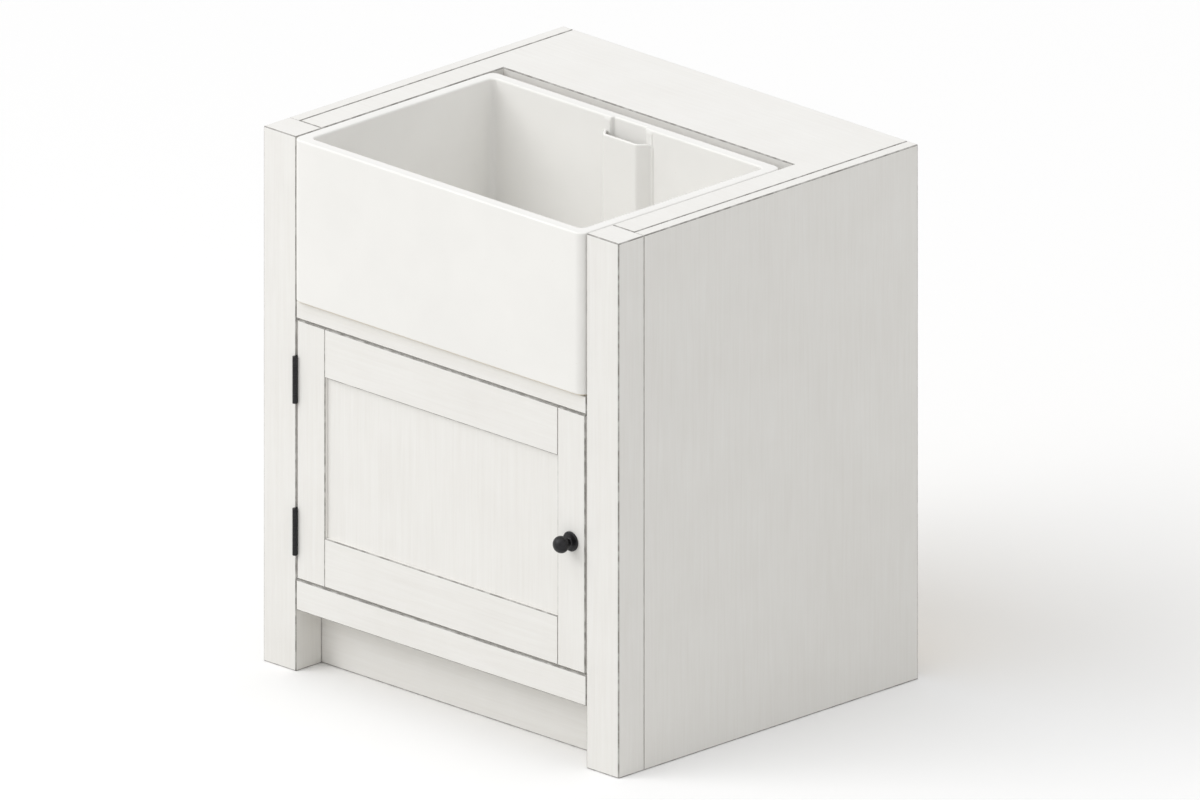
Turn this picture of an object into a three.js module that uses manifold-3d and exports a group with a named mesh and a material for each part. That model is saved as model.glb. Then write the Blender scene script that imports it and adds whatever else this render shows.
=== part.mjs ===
// Sink base cabinet: a painted timber carcass with two front posts, a framed inset door on butt hinges,
// and a fireclay sink with a weir overflow that sits on bearers with its rim level with the top.
//
// Millimetres. X runs from the left side to the right, Y from the front of the posts to the back, and
// Z up from the floor. The finished group is moved so that its origin is on the floor under its middle.

import * as THREE from 'three';
import { mergeVertices } from 'three/addons/utils/BufferGeometryUtils.js';
import Module from 'manifold-3d';

// Whole cabinet
const width = 770;
const depth = 650;
const height = 870;
const glueLine = 0.3; // gap at every glued, screwed or seated face

// Front frame
const postWidth = 70;
const postDepth = 56;
const sinkRailHeight = 30;
const bottomRailHeight = 50;
const bottomRailThickness = 28;
const toeHeight = 100; // from the floor to the underside of the bottom rail
const frameTenonLength = 24;
const frameTenonThickness = 12;
const frameTenonShoulder = 6; // timber above and below each tenon

// Side panels, top and back
const sideThickness = 22;
const tongueThickness = 8;
const tongueLength = 9;
const tongueStop = 24; // the tongue ends this far below the top
const topThickness = 22;
const backThickness = 9;
const rebateWidth = 9;
const upperBackRailHeight = 100;
const upperBackRailThickness = 22;
const serviceWidth = 480; // opening in the back for the pipes
const serviceHeight = 340;
const serviceBottom = 250;
const serviceRadius = 30;
const topCleatWidth = 20;
const topCleatHeight = 25;

// Cupboard floor and plinth
const baseThickness = 18;
const housingDepth = 6;
const plinthThickness = 18;
const plinthBlockWidth = 32;
const plinthBlockHeight = 110;
const rearBaseRailHeight = 80;
const rearBaseRailThickness = 18;

// Sink
const sinkSideGap = 1; // between the sink and each post
const sinkDepth = 435;
const sinkHeight = 265;
const sinkOverhang = 8.5; // how far its front stands proud of the posts
const sinkWall = 20.4;
const sinkCornerRadius = 15;
const bowlCornerRadius = 10;
const bowlFillet = 22; // round between the walls and the floor
const rimRound = 3;
const footRound = 6;
const sinkFloor = 26; // clay under the waste recess's lip
const floorFall = 6; // the floor drops this much from the walls to the waste
const sinkBackGap = 23.5; // open gap between the sink and the board behind it
const wasteRadius = 45;
const wasteRecessRadius = 57;
const wasteRecessDepth = 4;

// Weir overflow in the middle of the sink's back wall
const weirWidth = 105;
const weirFrontWidth = 74;
const weirProjection = 20;
const weirDrop = 22; // from the rim to the weir's lip
const weirWall = 5;
const weirShoulder = 6; // round on the outer top corners
const collarProud = 1.2;
const recessWidth = 76;
const recessDepth = 5;
const recessRadius = 10;
const passageWidth = 50;
const passageHeight = 9;
const passageFloor = 8; // clay below the passage

// Timbers under the sink
const bearerWidth = 90;
const bearerThickness = 30;
const rearSinkRailWidth = 60;
const rearSinkRailBehind = 20; // how far it runs out behind the sink
const bearerCleatWidth = 25;
const bearerCleatHeight = 40;

// Door
const doorThickness = 22;
const hingeGap = 3;
const lockGap = 3;
const doorTopGap = 2;
const doorBottomGap = 2;
const stileWidth = 60;
const doorTopRailHeight = 80;
const doorBottomRailHeight = 80;
const panelThickness = 9;
const panelSetBack = 6;
const grooveDepth = 10;
const panelSlack = 0.2; // each side of the panel in its groove
const panelExpansion = 2; // gap at the bottom of each groove
const doorTenonLength = 38;
const doorTenonHeight = 46;

// Butt hinges
const hingeLength = 76;
const upperHingeDrop = 59; // from the door's top edge
const lowerHingeRise = 38.5; // from the door's bottom edge
const pinForward = 3.5; // pin axis in front of the door's face
const knuckleRadius = 4;
const knuckleCount = 5;
const knuckleGap = 0.3;
const pinRadius = 1.9;
const pinClearance = 0.06;
const pinChamfer = 0.4;
const leafWidth = 20.5; // from the pin axis to the leaf's edge
const leafThickness = 2;
const leafSpacing = 1.4; // between the closed leaves

// Screws
const screwHeadRadius = 3.1;
const screwHeadDepth = 1.7;
const screwShankRadius = 1.6;
const screwLength = 18;
const screwSlotWidth = 0.8;
const screwSlotDepth = 0.7;
const screwClearance = 0.2;
const hingeScrewReach = 12.5; // screw line from the pin axis
const hingeScrewEnd = 12; // first and last screw from the leaf's ends
const hingeScrewCount = 3;

// Knob
const knobRise = 209; // knob axis above the door's bottom edge
const rosetteRadius = 16;
const rosetteThickness = 4;
const rosetteEdge = 2; // height of its upright edge
const rosetteBevel = 1.5; // width of the bevel above the edge
const rosetteBevelRise = 1.2;
const rosetteFlat = 7.5; // radius of the flat ring that the knob stands on
const knobFootRadius = 7;
const knobFootHeight = 2.5;
const knobNeckRadius = 5.5;
const knobThroatRadius = 6.3; // where the neck runs into the head
const knobHeadRadius = 13.7;
const knobHeadHalf = 12; // half the head's length along the axis
const knobProjection = 34;
const knobBoltRadius = 2;
const knobBoltReach = 15; // bolt in front of the door's face
const boltPoint = 0.5; // chamfer at the bolt's tip
const boltHeadRadius = 4;
const boltHeadHeight = 2.6;
const boltHeadEdge = 1.3; // height of the head's upright edge
const boltCrownRadius = 2.4; // flat crown of the head

// Door stop and magnetic catch
const stopWidth = 15;
const stopHeight = 20;
const stopInset = 20; // from the left post
const stopCatchGap = 30; // between the stop and the catch
const catchLength = 50;
const catchWidth = 14;
const catchHeight = 14;
const catchFlange = 3;
const catchFromRight = 50; // catch body from the right post
const magnetLength = 26;
const magnetHeight = 9;
const magnetProud = 0.8;
const strikeWidth = 34;
const strikeHeight = 14;
const strikeThickness = 1.5;
const strikeGap = 0.3; // closed gap between the strike and the magnet

// Fineness of the round forms
const cornerSteps = 6;
const filletSteps = 5;
const roundSteps = 24;
const screwSteps = 12;
const knobSteps = 28;
const headSteps = 12;

// Places that several pieces share
const middle = width / 2;
const innerFace = sideThickness; // inner face of the left side panel
const backRailFace = depth - backThickness - glueLine; // back of the rails in front of the back panel
const topUnderside = height - topThickness;
const sinkWidth = width - 2 * (postWidth + sinkSideGap);
const sinkLeft = middle - sinkWidth / 2;
const sinkFront = -sinkOverhang;
const sinkBack = sinkFront + sinkDepth;
const sinkBottom = height - sinkHeight;
const bowlBack = sinkBack - sinkWall;
const cutoutBack = sinkBack + sinkBackGap;
const sinkRailTop = sinkBottom - glueLine;
const sinkRailBottom = sinkRailTop - sinkRailHeight;
const bottomRailTop = toeHeight + bottomRailHeight;
const baseUnderside = bottomRailTop - baseThickness;
const bearerCleatTop = sinkRailTop - bearerThickness - glueLine;
const rearSinkRailBack = sinkBack + rearSinkRailBehind;
const rearSinkRailFront = rearSinkRailBack - rearSinkRailWidth;
const pinX = postWidth + hingeGap / 2;
const doorBottom = bottomRailTop + doorBottomGap;
const doorHeight = sinkRailBottom - doorTopGap - doorBottom;
const doorEdge = hingeGap / 2; // hinge edge of the door from the pin axis
const doorWidth = width - 2 * postWidth - hingeGap - lockGap;
const hingeBottoms = {
  upper: doorHeight - upperHingeDrop - hingeLength,
  lower: lowerHingeRise,
};
const leafOuter = leafSpacing / 2 + leafThickness; // outer face of each leaf from the pin axis
const catchLeft = width - postWidth - catchFromRight - catchLength;

const paint = new THREE.MeshStandardMaterial({ color: 0xf2f0ea, roughness: 0.5, metalness: 0 });
const birchPly = new THREE.MeshStandardMaterial({ color: 0xdcc9a4, roughness: 0.6, metalness: 0 });
const bareTimber = new THREE.MeshStandardMaterial({ color: 0xc9a878, roughness: 0.7, metalness: 0 });
const fireclay = new THREE.MeshStandardMaterial({ color: 0xf8f8f4, roughness: 0.12, metalness: 0 });
const blackIron = new THREE.MeshStandardMaterial({ color: 0x1c1c1e, roughness: 0.45, metalness: 0.8 });
const plainSteel = new THREE.MeshStandardMaterial({ color: 0xb9bbbd, roughness: 0.35, metalness: 1 });
const whitePlastic = new THREE.MeshStandardMaterial({ color: 0xe9e8e3, roughness: 0.4, metalness: 0 });

const wasm = await Module();
wasm.setup();

// The solid inside a closed geometry, without the flat slivers at a revolve's poles.
function solid(geometry) {
  const bare = geometry.clone();
  bare.deleteAttribute('normal');
  bare.deleteAttribute('uv');
  const merged = mergeVertices(bare);
  const corners = merged.index.array;
  const faces = [];
  for (let i = 0; i < corners.length; i += 3) {
    const [a, b, c] = [corners[i], corners[i + 1], corners[i + 2]];
    if (a !== b && b !== c && c !== a) faces.push(a, b, c);
  }
  const vertProperties = merged.attributes.position.array;
  const triVerts = new Uint32Array(faces);
  return new wasm.Manifold(new wasm.Mesh({ numProp: 3, vertProperties, triVerts }));
}

// A named mesh of a finished solid.
function piece(name, body, material) {
  const { vertProperties, triVerts } = body.getMesh();
  const geometry = new THREE.BufferGeometry();
  geometry.setAttribute('position', new THREE.BufferAttribute(vertProperties, 3));
  geometry.setIndex(new THREE.BufferAttribute(triVerts, 1));
  geometry.computeVertexNormals();
  const mesh = new THREE.Mesh(geometry, material);
  mesh.name = name;
  return mesh;
}

// A squared timber between two corners.
function block(x, y, z) {
  const box = new THREE.BoxGeometry(x[1] - x[0], y[1] - y[0], z[1] - z[0]);
  box.translate((x[0] + x[1]) / 2, (y[0] + y[1]) / 2, (z[0] + z[1]) / 2);
  return solid(box);
}

// A plan outline raised from one height to another.
function board(outline, z) {
  const shape = new THREE.Shape(outline.map(([x, y]) => new THREE.Vector2(x, y)));
  const raised = new THREE.ExtrudeGeometry(shape, { depth: z[1] - z[0], bevelEnabled: false });
  raised.translate(0, 0, z[0]);
  return solid(raised);
}

// A profile of [radius, height] points turned about the Z axis.
function turning(profile, steps) {
  const points = profile.map(([radius, z]) => new THREE.Vector2(radius, z));
  const turned = new THREE.LatheGeometry(points, steps);
  turned.rotateX(Math.PI / 2);
  return turned;
}

// A round bar about the Z axis between two heights.
function rod(radius, z) {
  return solid(turning([[0, z[0]], [radius, z[0]], [radius, z[1]], [0, z[1]]], roundSteps));
}

// A closed solid through level rings of points that all have the same count, lowest ring first.
function loft(rings) {
  const count = rings[0].length;
  const top = (rings.length - 1) * count;
  const faces = [];
  for (let start = 0; start < top; start += count) {
    for (let i = 0; i < count; i += 1) {
      const next = (i + 1) % count;
      faces.push(start + i, start + next, start + count + next);
      faces.push(start + i, start + count + next, start + count + i);
    }
  }
  for (let i = 1; i + 1 < count; i += 1) {
    faces.push(0, i + 1, i);
    faces.push(top, top + i, top + i + 1);
  }
  const geometry = new THREE.BufferGeometry().setFromPoints(rings.flat());
  geometry.setIndex(faces);
  return solid(geometry);
}

// A level ring round a rectangle with rounded corners, counter-clockwise from above.
function roundedRing(x, y, radius, z) {
  const centres = [[x[1], y[1]], [x[0], y[1]], [x[0], y[0]], [x[1], y[0]]];
  return centres.flatMap(([cx, cy], corner) => {
    const inX = cx === x[1] ? -radius : radius;
    const inY = cy === y[1] ? -radius : radius;
    return Array.from({ length: cornerSteps + 1 }, (_, step) => {
      const angle = (corner + step / cornerSteps) * Math.PI / 2;
      return new THREE.Vector3(cx + inX + radius * Math.cos(angle), cy + inY + radius * Math.sin(angle), z);
    });
  });
}

// The same place on the left or on the right of the cabinet, as a [low, high] pair.
function across(side, x) {
  return side === 'left' ? x : [width - x[1], width - x[0]];
}

// Height and depth of a frame tenon, inside the rail that carries it.
function tenonSection(railDepth, z) {
  const front = (railDepth - frameTenonThickness) / 2;
  return {
    y: [front, front + frameTenonThickness],
    z: [z[0] + frameTenonShoulder, z[1] - frameTenonShoulder],
  };
}

// A pair of numbers moved apart by the same amount at both ends.
function widened(pair, amount) {
  return [pair[0] - amount, pair[1] + amount];
}

// A rail between the posts with a tenon at each end.
function framedRail(railDepth, z) {
  const tenon = tenonSection(railDepth, z);
  const shoulders = [postWidth + glueLine, width - postWidth - glueLine];
  const body = block(shoulders, [0, railDepth], z);
  return body.add(block(widened(shoulders, frameTenonLength), tenon.y, tenon.z));
}

// The mortise in a post for one frame rail.
function frameMortise(side, railDepth, z) {
  const tenon = tenonSection(railDepth, z);
  const x = across(side, [postWidth - frameTenonLength, postWidth + 1]);
  return block(x, widened(tenon.y, glueLine), widened(tenon.z, glueLine));
}

// Where the side panel's tongue runs, front to back and side to side.
function tongueSection(side) {
  const start = (sideThickness - tongueThickness) / 2;
  return {
    x: across(side, [start, start + tongueThickness]),
    y: [postDepth + glueLine - tongueLength, postDepth + glueLine],
  };
}

// The space that one hinge takes out of the timber, about the pin axis with the hinge's bottom at z = 0.
// towards is -1 on the post's side and 1 on the door's side.
function hingeRecess(towards) {
  const z = widened([0, hingeLength], glueLine);
  const depthOut = leafOuter + glueLine;
  const x = towards < 0 ? [-depthOut, 0] : [0, depthOut];
  const seat = block(x, [0, leafWidth + glueLine], z);
  return seat.add(rod(knuckleRadius + glueLine, z));
}

// Heights of the screws in one hinge leaf, from the hinge's bottom.
function hingeScrewHeights() {
  const span = hingeLength - 2 * hingeScrewEnd;
  return Array.from({ length: hingeScrewCount }, (_, i) => hingeScrewEnd + span * i / (hingeScrewCount - 1));
}

// A countersunk screw's form with its head's face at z = 0 and its point downwards, grown by a clearance.
function screwForm(clearance) {
  const head = screwHeadRadius + clearance;
  const shank = screwShankRadius + clearance;
  const end = -screwLength - clearance;
  return turning([
    [0, end],
    [shank, end + 2 * screwShankRadius],
    [shank, -screwHeadDepth],
    [head, 0],
    [head, clearance],
    [0, clearance],
  ], screwSteps);
}

// One slotted countersunk screw, head up.
function screw() {
  const slot = block(widened([0, 0], 2 * screwHeadRadius), widened([0, 0], screwSlotWidth / 2),
    [-screwSlotDepth, 1]);
  return solid(screwForm(0)).subtract(slot);
}

// The hole for a screw that points along X, in the direction given by -1 or 1, head face at x.
function screwHole(towards, x, y, z) {
  const form = screwForm(screwClearance);
  form.rotateY(-towards * Math.PI / 2);
  form.translate(x, y, z);
  return solid(form);
}

// The screw heads' faces from the pin axis, just below the leaf's inner face.
const hingeScrewFace = leafSpacing / 2 + screwClearance / 2;

// Screw holes of one hinge about its pin axis, on the post's side (-1) or the door's side (1).
function hingeScrewHoles(towards) {
  return hingeScrewHeights()
    .map((z) => screwHole(towards, towards * hingeScrewFace, hingeScrewReach, z))
    .reduce((all, hole) => all.add(hole));
}

function post(side) {
  const tongue = tongueSection(side);
  let body = block(across(side, [0, postWidth]), [0, postDepth], [0, height]);
  body = body.subtract(frameMortise(side, postDepth, [sinkRailBottom, sinkRailTop]));
  body = body.subtract(frameMortise(side, bottomRailThickness, [toeHeight, bottomRailTop]));
  const groove = block(
    widened(tongue.x, glueLine),
    [tongue.y[0] - glueLine, postDepth + 1],
    [-1, height - tongueStop + glueLine],
  );
  body = body.subtract(groove);
  if (side === 'right') return body;
  for (const bottom of Object.values(hingeBottoms)) {
    const at = [pinX, -pinForward, doorBottom + bottom];
    body = body.subtract(hingeRecess(-1).translate(at));
    body = body.subtract(hingeScrewHoles(-1).translate(at));
  }
  return body;
}

function sidePanel(side) {
  const tongue = tongueSection(side);
  let body = block(across(side, [0, sideThickness]), [postDepth + glueLine, depth], [0, height]);
  body = body.add(block(tongue.x, [tongue.y[0], postDepth + 1], [0, height - tongueStop]));
  const rebate = block(
    across(side, [sideThickness - rebateWidth, sideThickness + 1]),
    [backRailFace, depth + 1],
    [-1, topUnderside],
  );
  const housing = block(
    across(side, [sideThickness - housingDepth, sideThickness + 1]),
    [postDepth, backRailFace],
    widened([baseUnderside, bottomRailTop], glueLine),
  );
  return body.subtract(rebate).subtract(housing);
}

// U-shaped board round the sink, level with its rim.
function topBoard() {
  const [left, right] = [innerFace + glueLine, width - innerFace - glueLine];
  const front = postDepth + glueLine;
  return board([
    [left, front],
    [postWidth, front],
    [postWidth, cutoutBack],
    [width - postWidth, cutoutBack],
    [width - postWidth, front],
    [right, front],
    [right, depth],
    [left, depth],
  ], [topUnderside, height]);
}

// Cupboard floor: notched round the posts, its edges in the side panels' housings.
function basePanel() {
  const edge = innerFace - housingDepth + glueLine;
  const notch = postWidth + glueLine;
  return board([
    [notch, bottomRailThickness + glueLine],
    [width - notch, bottomRailThickness + glueLine],
    [width - notch, postDepth + glueLine],
    [width - edge, postDepth + glueLine],
    [width - edge, backRailFace],
    [edge, backRailFace],
    [edge, postDepth + glueLine],
    [notch, postDepth + glueLine],
  ], [baseUnderside, bottomRailTop]);
}

// Thin back in the side panels' rebates, with a rounded opening for the pipes.
function backPanel() {
  const edge = sideThickness - rebateWidth + glueLine;
  const top = topUnderside - glueLine;
  const bottom = baseUnderside - glueLine - rearBaseRailHeight;
  const sheet = new THREE.Shape();
  sheet.moveTo(edge, bottom);
  sheet.lineTo(width - edge, bottom);
  sheet.lineTo(width - edge, top);
  sheet.lineTo(edge, top);
  const [left, right] = [middle - serviceWidth / 2, middle + serviceWidth / 2];
  const [low, high] = [serviceBottom, serviceBottom + serviceHeight];
  const opening = new THREE.Path();
  opening.absarc(right - serviceRadius, low + serviceRadius, serviceRadius, -Math.PI / 2, 0);
  opening.absarc(right - serviceRadius, high - serviceRadius, serviceRadius, 0, Math.PI / 2);
  opening.absarc(left + serviceRadius, high - serviceRadius, serviceRadius, Math.PI / 2, Math.PI);
  opening.absarc(left + serviceRadius, low + serviceRadius, serviceRadius, Math.PI, 1.5 * Math.PI);
  sheet.holes.push(opening);
  const raised = new THREE.ExtrudeGeometry(sheet, {
    depth: backThickness,
    bevelEnabled: false,
    curveSegments: cornerSteps,
  });
  raised.rotateX(Math.PI / 2);
  raised.translate(0, depth, 0);
  return solid(raised);
}

function plinthBoard() {
  const front = postDepth + glueLine;
  return block(
    [innerFace + glueLine, width - innerFace - glueLine],
    [front, front + plinthThickness],
    [0, baseUnderside - glueLine],
  );
}

// Three-cornered glue block in the corner between the plinth board and a side panel.
function plinthBlock(side) {
  const front = postDepth + plinthThickness + 2 * glueLine;
  const [near, far] = [innerFace + glueLine, innerFace + glueLine + plinthBlockWidth];
  const outline = side === 'left'
    ? [[near, front], [far, front], [near, front + plinthBlockWidth]]
    : [[width - far, front], [width - near, front], [width - near, front + plinthBlockWidth]];
  return board(outline, [0, plinthBlockHeight]);
}

function rearBaseRail() {
  const top = baseUnderside - glueLine;
  return block(
    [innerFace + glueLine, width - innerFace - glueLine],
    [backRailFace - rearBaseRailThickness, backRailFace],
    [top - rearBaseRailHeight, top],
  );
}

function upperBackRail() {
  const top = topUnderside - glueLine;
  return block(
    [innerFace + glueLine, width - innerFace - glueLine],
    [backRailFace - upperBackRailThickness, backRailFace],
    [top - upperBackRailHeight, top],
  );
}

function topCleat(side) {
  const top = topUnderside - glueLine;
  return block(
    across(side, [innerFace + glueLine, innerFace + glueLine + topCleatWidth]),
    [postDepth + glueLine, backRailFace - upperBackRailThickness - glueLine],
    [top - topCleatHeight, top],
  );
}

function bearerCleat(side) {
  return block(
    across(side, [innerFace + glueLine, innerFace + glueLine + bearerCleatWidth]),
    [postDepth + glueLine, rearSinkRailBack],
    [bearerCleatTop - bearerCleatHeight, bearerCleatTop],
  );
}

function sinkBearer(side) {
  return block(
    across(side, [innerFace + glueLine, innerFace + glueLine + bearerWidth]),
    [postDepth + glueLine, rearSinkRailFront - glueLine],
    [sinkRailTop - bearerThickness, sinkRailTop],
  );
}

function rearSinkRail() {
  return block(
    [innerFace + glueLine, width - innerFace - glueLine],
    [rearSinkRailFront, rearSinkRailBack],
    [sinkRailTop - bearerThickness, sinkRailTop],
  );
}

// The sink's outside: upright walls with rounded corners, a round at the foot and one at the rim.
function sinkOutside() {
  const x = [sinkLeft, sinkLeft + sinkWidth];
  const y = [sinkFront, sinkBack];
  const ring = (inset, z) => roundedRing(widened(x, -inset), widened(y, -inset), sinkCornerRadius - inset, z);
  const rings = [];
  for (let step = 0; step <= filletSteps; step += 1) {
    const angle = step / filletSteps * Math.PI / 2;
    rings.push(ring(footRound * (1 - Math.sin(angle)), sinkBottom + footRound * (1 - Math.cos(angle))));
  }
  for (let step = 0; step <= filletSteps; step += 1) {
    const angle = step / filletSteps * Math.PI / 2;
    rings.push(ring(rimRound * (1 - Math.cos(angle)), height - rimRound * (1 - Math.sin(angle))));
  }
  return loft(rings);
}

const bowlFloor = sinkBottom + sinkFloor; // floor's height at the waste
const wasteY = (sinkFront + sinkWall + bowlBack) / 2;

// The bowl's inside: a floor that falls to the waste, a fillet, upright walls and a rounded rim.
function bowlInside() {
  const x = [sinkLeft + sinkWall, sinkLeft + sinkWidth - sinkWall];
  const y = [sinkFront + sinkWall, bowlBack];
  const ring = (inset, z, grow = 0) => (
    roundedRing(widened(x, -inset), widened(y, -inset), bowlCornerRadius + grow, z)
  );
  const lip = widened([0, 0], wasteRecessRadius);
  const rings = [roundedRing(
    lip.map((offset) => middle + offset),
    lip.map((offset) => wasteY + offset),
    wasteRecessRadius,
    bowlFloor,
  )];
  const foot = bowlFloor + floorFall;
  for (let step = 0; step <= filletSteps; step += 1) {
    const angle = step / filletSteps * Math.PI / 2;
    rings.push(ring(bowlFillet * (1 - Math.sin(angle)), foot + bowlFillet * (1 - Math.cos(angle))));
  }
  for (let step = 0; step <= filletSteps; step += 1) {
    const angle = step / filletSteps * Math.PI / 2;
    const outset = rimRound * (1 - Math.cos(angle));
    rings.push(ring(-outset, height - rimRound * (1 - Math.sin(angle)), outset));
  }
  rings.push(ring(-rimRound, height + 1, rimRound));
  return loft(rings);
}

// Waste hole with the shallow recess that a waste fitting's flange lies in.
function wasteHole() {
  return solid(turning([
    [0, sinkBottom - 1],
    [wasteRadius, sinkBottom - 1],
    [wasteRadius, bowlFloor - wasteRecessDepth],
    [wasteRecessRadius - wasteRecessDepth, bowlFloor - wasteRecessDepth],
    [wasteRecessRadius, bowlFloor + 0.5],
    [0, bowlFloor + 0.5],
  ], 2 * roundSteps).translate(middle, wasteY, 0));
}

// Plan of the weir against the back wall, drawn in by an offset. It runs into the wall by `into`.
function weirPlan(inset, into) {
  const lean = (weirWidth - weirFrontWidth) / 2 / weirProjection;
  const slant = inset * Math.hypot(1, lean);
  const front = bowlBack - weirProjection + inset;
  const halfFront = weirFrontWidth / 2 + inset * lean - slant;
  const halfBack = weirWidth / 2 - slant;
  return [
    [middle - halfFront, front],
    [middle + halfFront, front],
    [middle + halfBack, bowlBack],
    [middle + halfBack, bowlBack + into],
    [middle - halfBack, bowlBack + into],
    [middle - halfBack, bowlBack],
  ];
}

// Hollow box of the weir, rounded at its outer top corners, and the raised collar above it.
function weirBody() {
  const top = height - weirDrop;
  const box = board(weirPlan(0, sinkWall / 2), [bowlFloor - 1, top]);
  const corner = (sign) => {
    const arc = new THREE.Shape();
    const centre = weirWidth / 2 - weirShoulder;
    arc.moveTo(sign * centre, top + 1);
    arc.lineTo(sign * (centre + weirShoulder + 1), top + 1);
    arc.lineTo(sign * (centre + weirShoulder + 1), top - weirShoulder);
    for (let step = 0; step <= filletSteps; step += 1) {
      const angle = step / filletSteps * Math.PI / 2;
      arc.lineTo(sign * (centre + weirShoulder * Math.cos(angle)), top - weirShoulder * (1 - Math.sin(angle)));
    }
    const cut = new THREE.ExtrudeGeometry(arc, { depth: weirProjection + 2, bevelEnabled: false });
    cut.rotateX(Math.PI / 2);
    cut.translate(middle, bowlBack, 0);
    return solid(cut);
  };
  const collar = board([
    [middle - weirWidth / 2, bowlBack + 1],
    [middle - weirWidth / 2 + collarProud, bowlBack - collarProud],
    [middle + weirWidth / 2 - collarProud, bowlBack - collarProud],
    [middle + weirWidth / 2, bowlBack + 1],
  ], [top - weirShoulder, height - rimRound]);
  return box.subtract(corner(-1)).subtract(corner(1)).add(collar);
}

// Space above the weir's lip: a shallow recess with rounded sides, open through the rim.
function weirRecess() {
  const [left, right] = [middle - recessWidth / 2, middle + recessWidth / 2];
  const floorY = bowlBack + recessDepth;
  const plan = [[left, bowlBack - weirProjection], [right, bowlBack - weirProjection]];
  for (let step = 0; step <= filletSteps; step += 1) {
    const angle = step / filletSteps * Math.PI / 2;
    plan.push([
      right - recessRadius * (1 - Math.cos(angle)),
      floorY - recessDepth * (1 - Math.sin(angle)),
    ]);
  }
  for (let step = filletSteps; step >= 0; step -= 1) {
    const angle = step / filletSteps * Math.PI / 2;
    plan.push([
      left + recessRadius * (1 - Math.cos(angle)),
      floorY - recessDepth * (1 - Math.sin(angle)),
    ]);
  }
  return board(plan, [height - weirDrop, height + 1]);
}

// Water way behind the weir's lip, down inside the box and under the floor to the waste hole.
function weirPassage() {
  const low = sinkBottom + passageFloor;
  const shaft = board(weirPlan(weirWall, recessDepth), [low, height - weirDrop + 1]);
  const halfWidth = passageWidth / 2;
  const duct = block([middle - halfWidth, middle + halfWidth], [wasteY, bowlBack], [low, low + passageHeight]);
  return shaft.add(duct);
}

function sink() {
  return sinkOutside()
    .subtract(bowlInside())
    .add(weirBody())
    .subtract(weirRecess())
    .subtract(weirPassage())
    .subtract(wasteHole());
}

function doorStop() {
  const top = sinkRailBottom - glueLine;
  const front = doorThickness + glueLine;
  return block(
    [postWidth + stopInset, catchLeft - stopCatchGap],
    [front, front + stopWidth],
    [top - stopHeight, top],
  );
}

const catchTop = sinkRailBottom - glueLine;
const magnetFront = doorThickness + strikeThickness + strikeGap;
const catchFront = magnetFront + magnetProud;
const catchMiddle = catchLeft + catchLength / 2;
const magnetLow = catchTop - catchHeight + (catchHeight - catchFlange - magnetHeight) / 2;

// Moulded housing of the catch: a flange along the rail's underside and a block below it.
function catchBody() {
  const flange = block(
    [catchLeft, catchLeft + catchLength],
    [catchFront, catchFront + catchWidth],
    [catchTop - catchFlange, catchTop],
  );
  const shell = block(
    widened([catchMiddle, catchMiddle], magnetLength / 2 + catchFlange),
    [catchFront, catchFront + catchWidth],
    [catchTop - catchHeight, catchTop],
  );
  const pocket = block(
    widened([catchMiddle, catchMiddle], magnetLength / 2 + glueLine),
    [catchFront - 1, catchFront + catchWidth - catchFlange],
    widened([magnetLow, magnetLow + magnetHeight], glueLine),
  );
  return catchScrewPlaces().reduce(
    (body, x) => body.subtract(catchScrewHole(x)),
    flange.add(shell).subtract(pocket),
  );
}

// The catch's screws go up through the ends of its flange.
function catchScrewPlaces() {
  const inset = (catchLength - magnetLength - 2 * catchFlange) / 4;
  return [catchLeft + inset, catchLeft + catchLength - inset];
}

// Hole for an upright screw, head down, level with the underside of the catch's flange.
function catchScrewHole(x) {
  const form = screwForm(screwClearance);
  form.rotateX(Math.PI);
  form.translate(x, catchFront + catchWidth / 2, catchTop - catchFlange);
  return solid(form);
}

function catchMagnet() {
  return block(
    widened([catchMiddle, catchMiddle], magnetLength / 2),
    [magnetFront, catchFront + catchWidth - catchFlange - glueLine],
    [magnetLow, magnetLow + magnetHeight],
  );
}

// Rail under the sink's front, bored for the catch's screws.
function sinkRail() {
  const rail = framedRail(postDepth, [sinkRailBottom, sinkRailTop]);
  return catchScrewPlaces().reduce((body, x) => body.subtract(catchScrewHole(x)), rail);
}

// One leaf of a hinge about its pin axis: a plate with its own knuckles, bored for the pin.
// towards is -1 for the frame's leaf and 1 for the door's leaf.
function hingeLeaf(towards) {
  const pitch = hingeLength / knuckleCount;
  const first = towards < 0 ? 0 : 1;
  const x = towards < 0 ? [-leafOuter, -leafSpacing / 2] : [leafSpacing / 2, leafOuter];
  let body = block(x, [0, leafWidth], [0, hingeLength]);
  for (let i = 1 - first; i < knuckleCount; i += 2) {
    const z = widened([i * pitch, (i + 1) * pitch], knuckleGap / 2);
    body = body.subtract(rod(knuckleRadius + glueLine, z));
  }
  for (let i = first; i < knuckleCount; i += 2) {
    const low = i === 0 ? 0 : i * pitch + knuckleGap / 2;
    const high = i === knuckleCount - 1 ? hingeLength : (i + 1) * pitch - knuckleGap / 2;
    body = body.add(rod(knuckleRadius, [low, high]));
  }
  const bore = (pinRadius + pinClearance) / Math.cos(Math.PI / roundSteps);
  return body.subtract(rod(bore, [-1, hingeLength + 1])).subtract(hingeScrewHoles(towards));
}

function hingePin() {
  return solid(turning([
    [0, 0],
    [pinRadius - pinChamfer, 0],
    [pinRadius, pinChamfer],
    [pinRadius, hingeLength - pinChamfer],
    [pinRadius - pinChamfer, hingeLength],
    [0, hingeLength],
  ], roundSteps));
}

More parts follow.
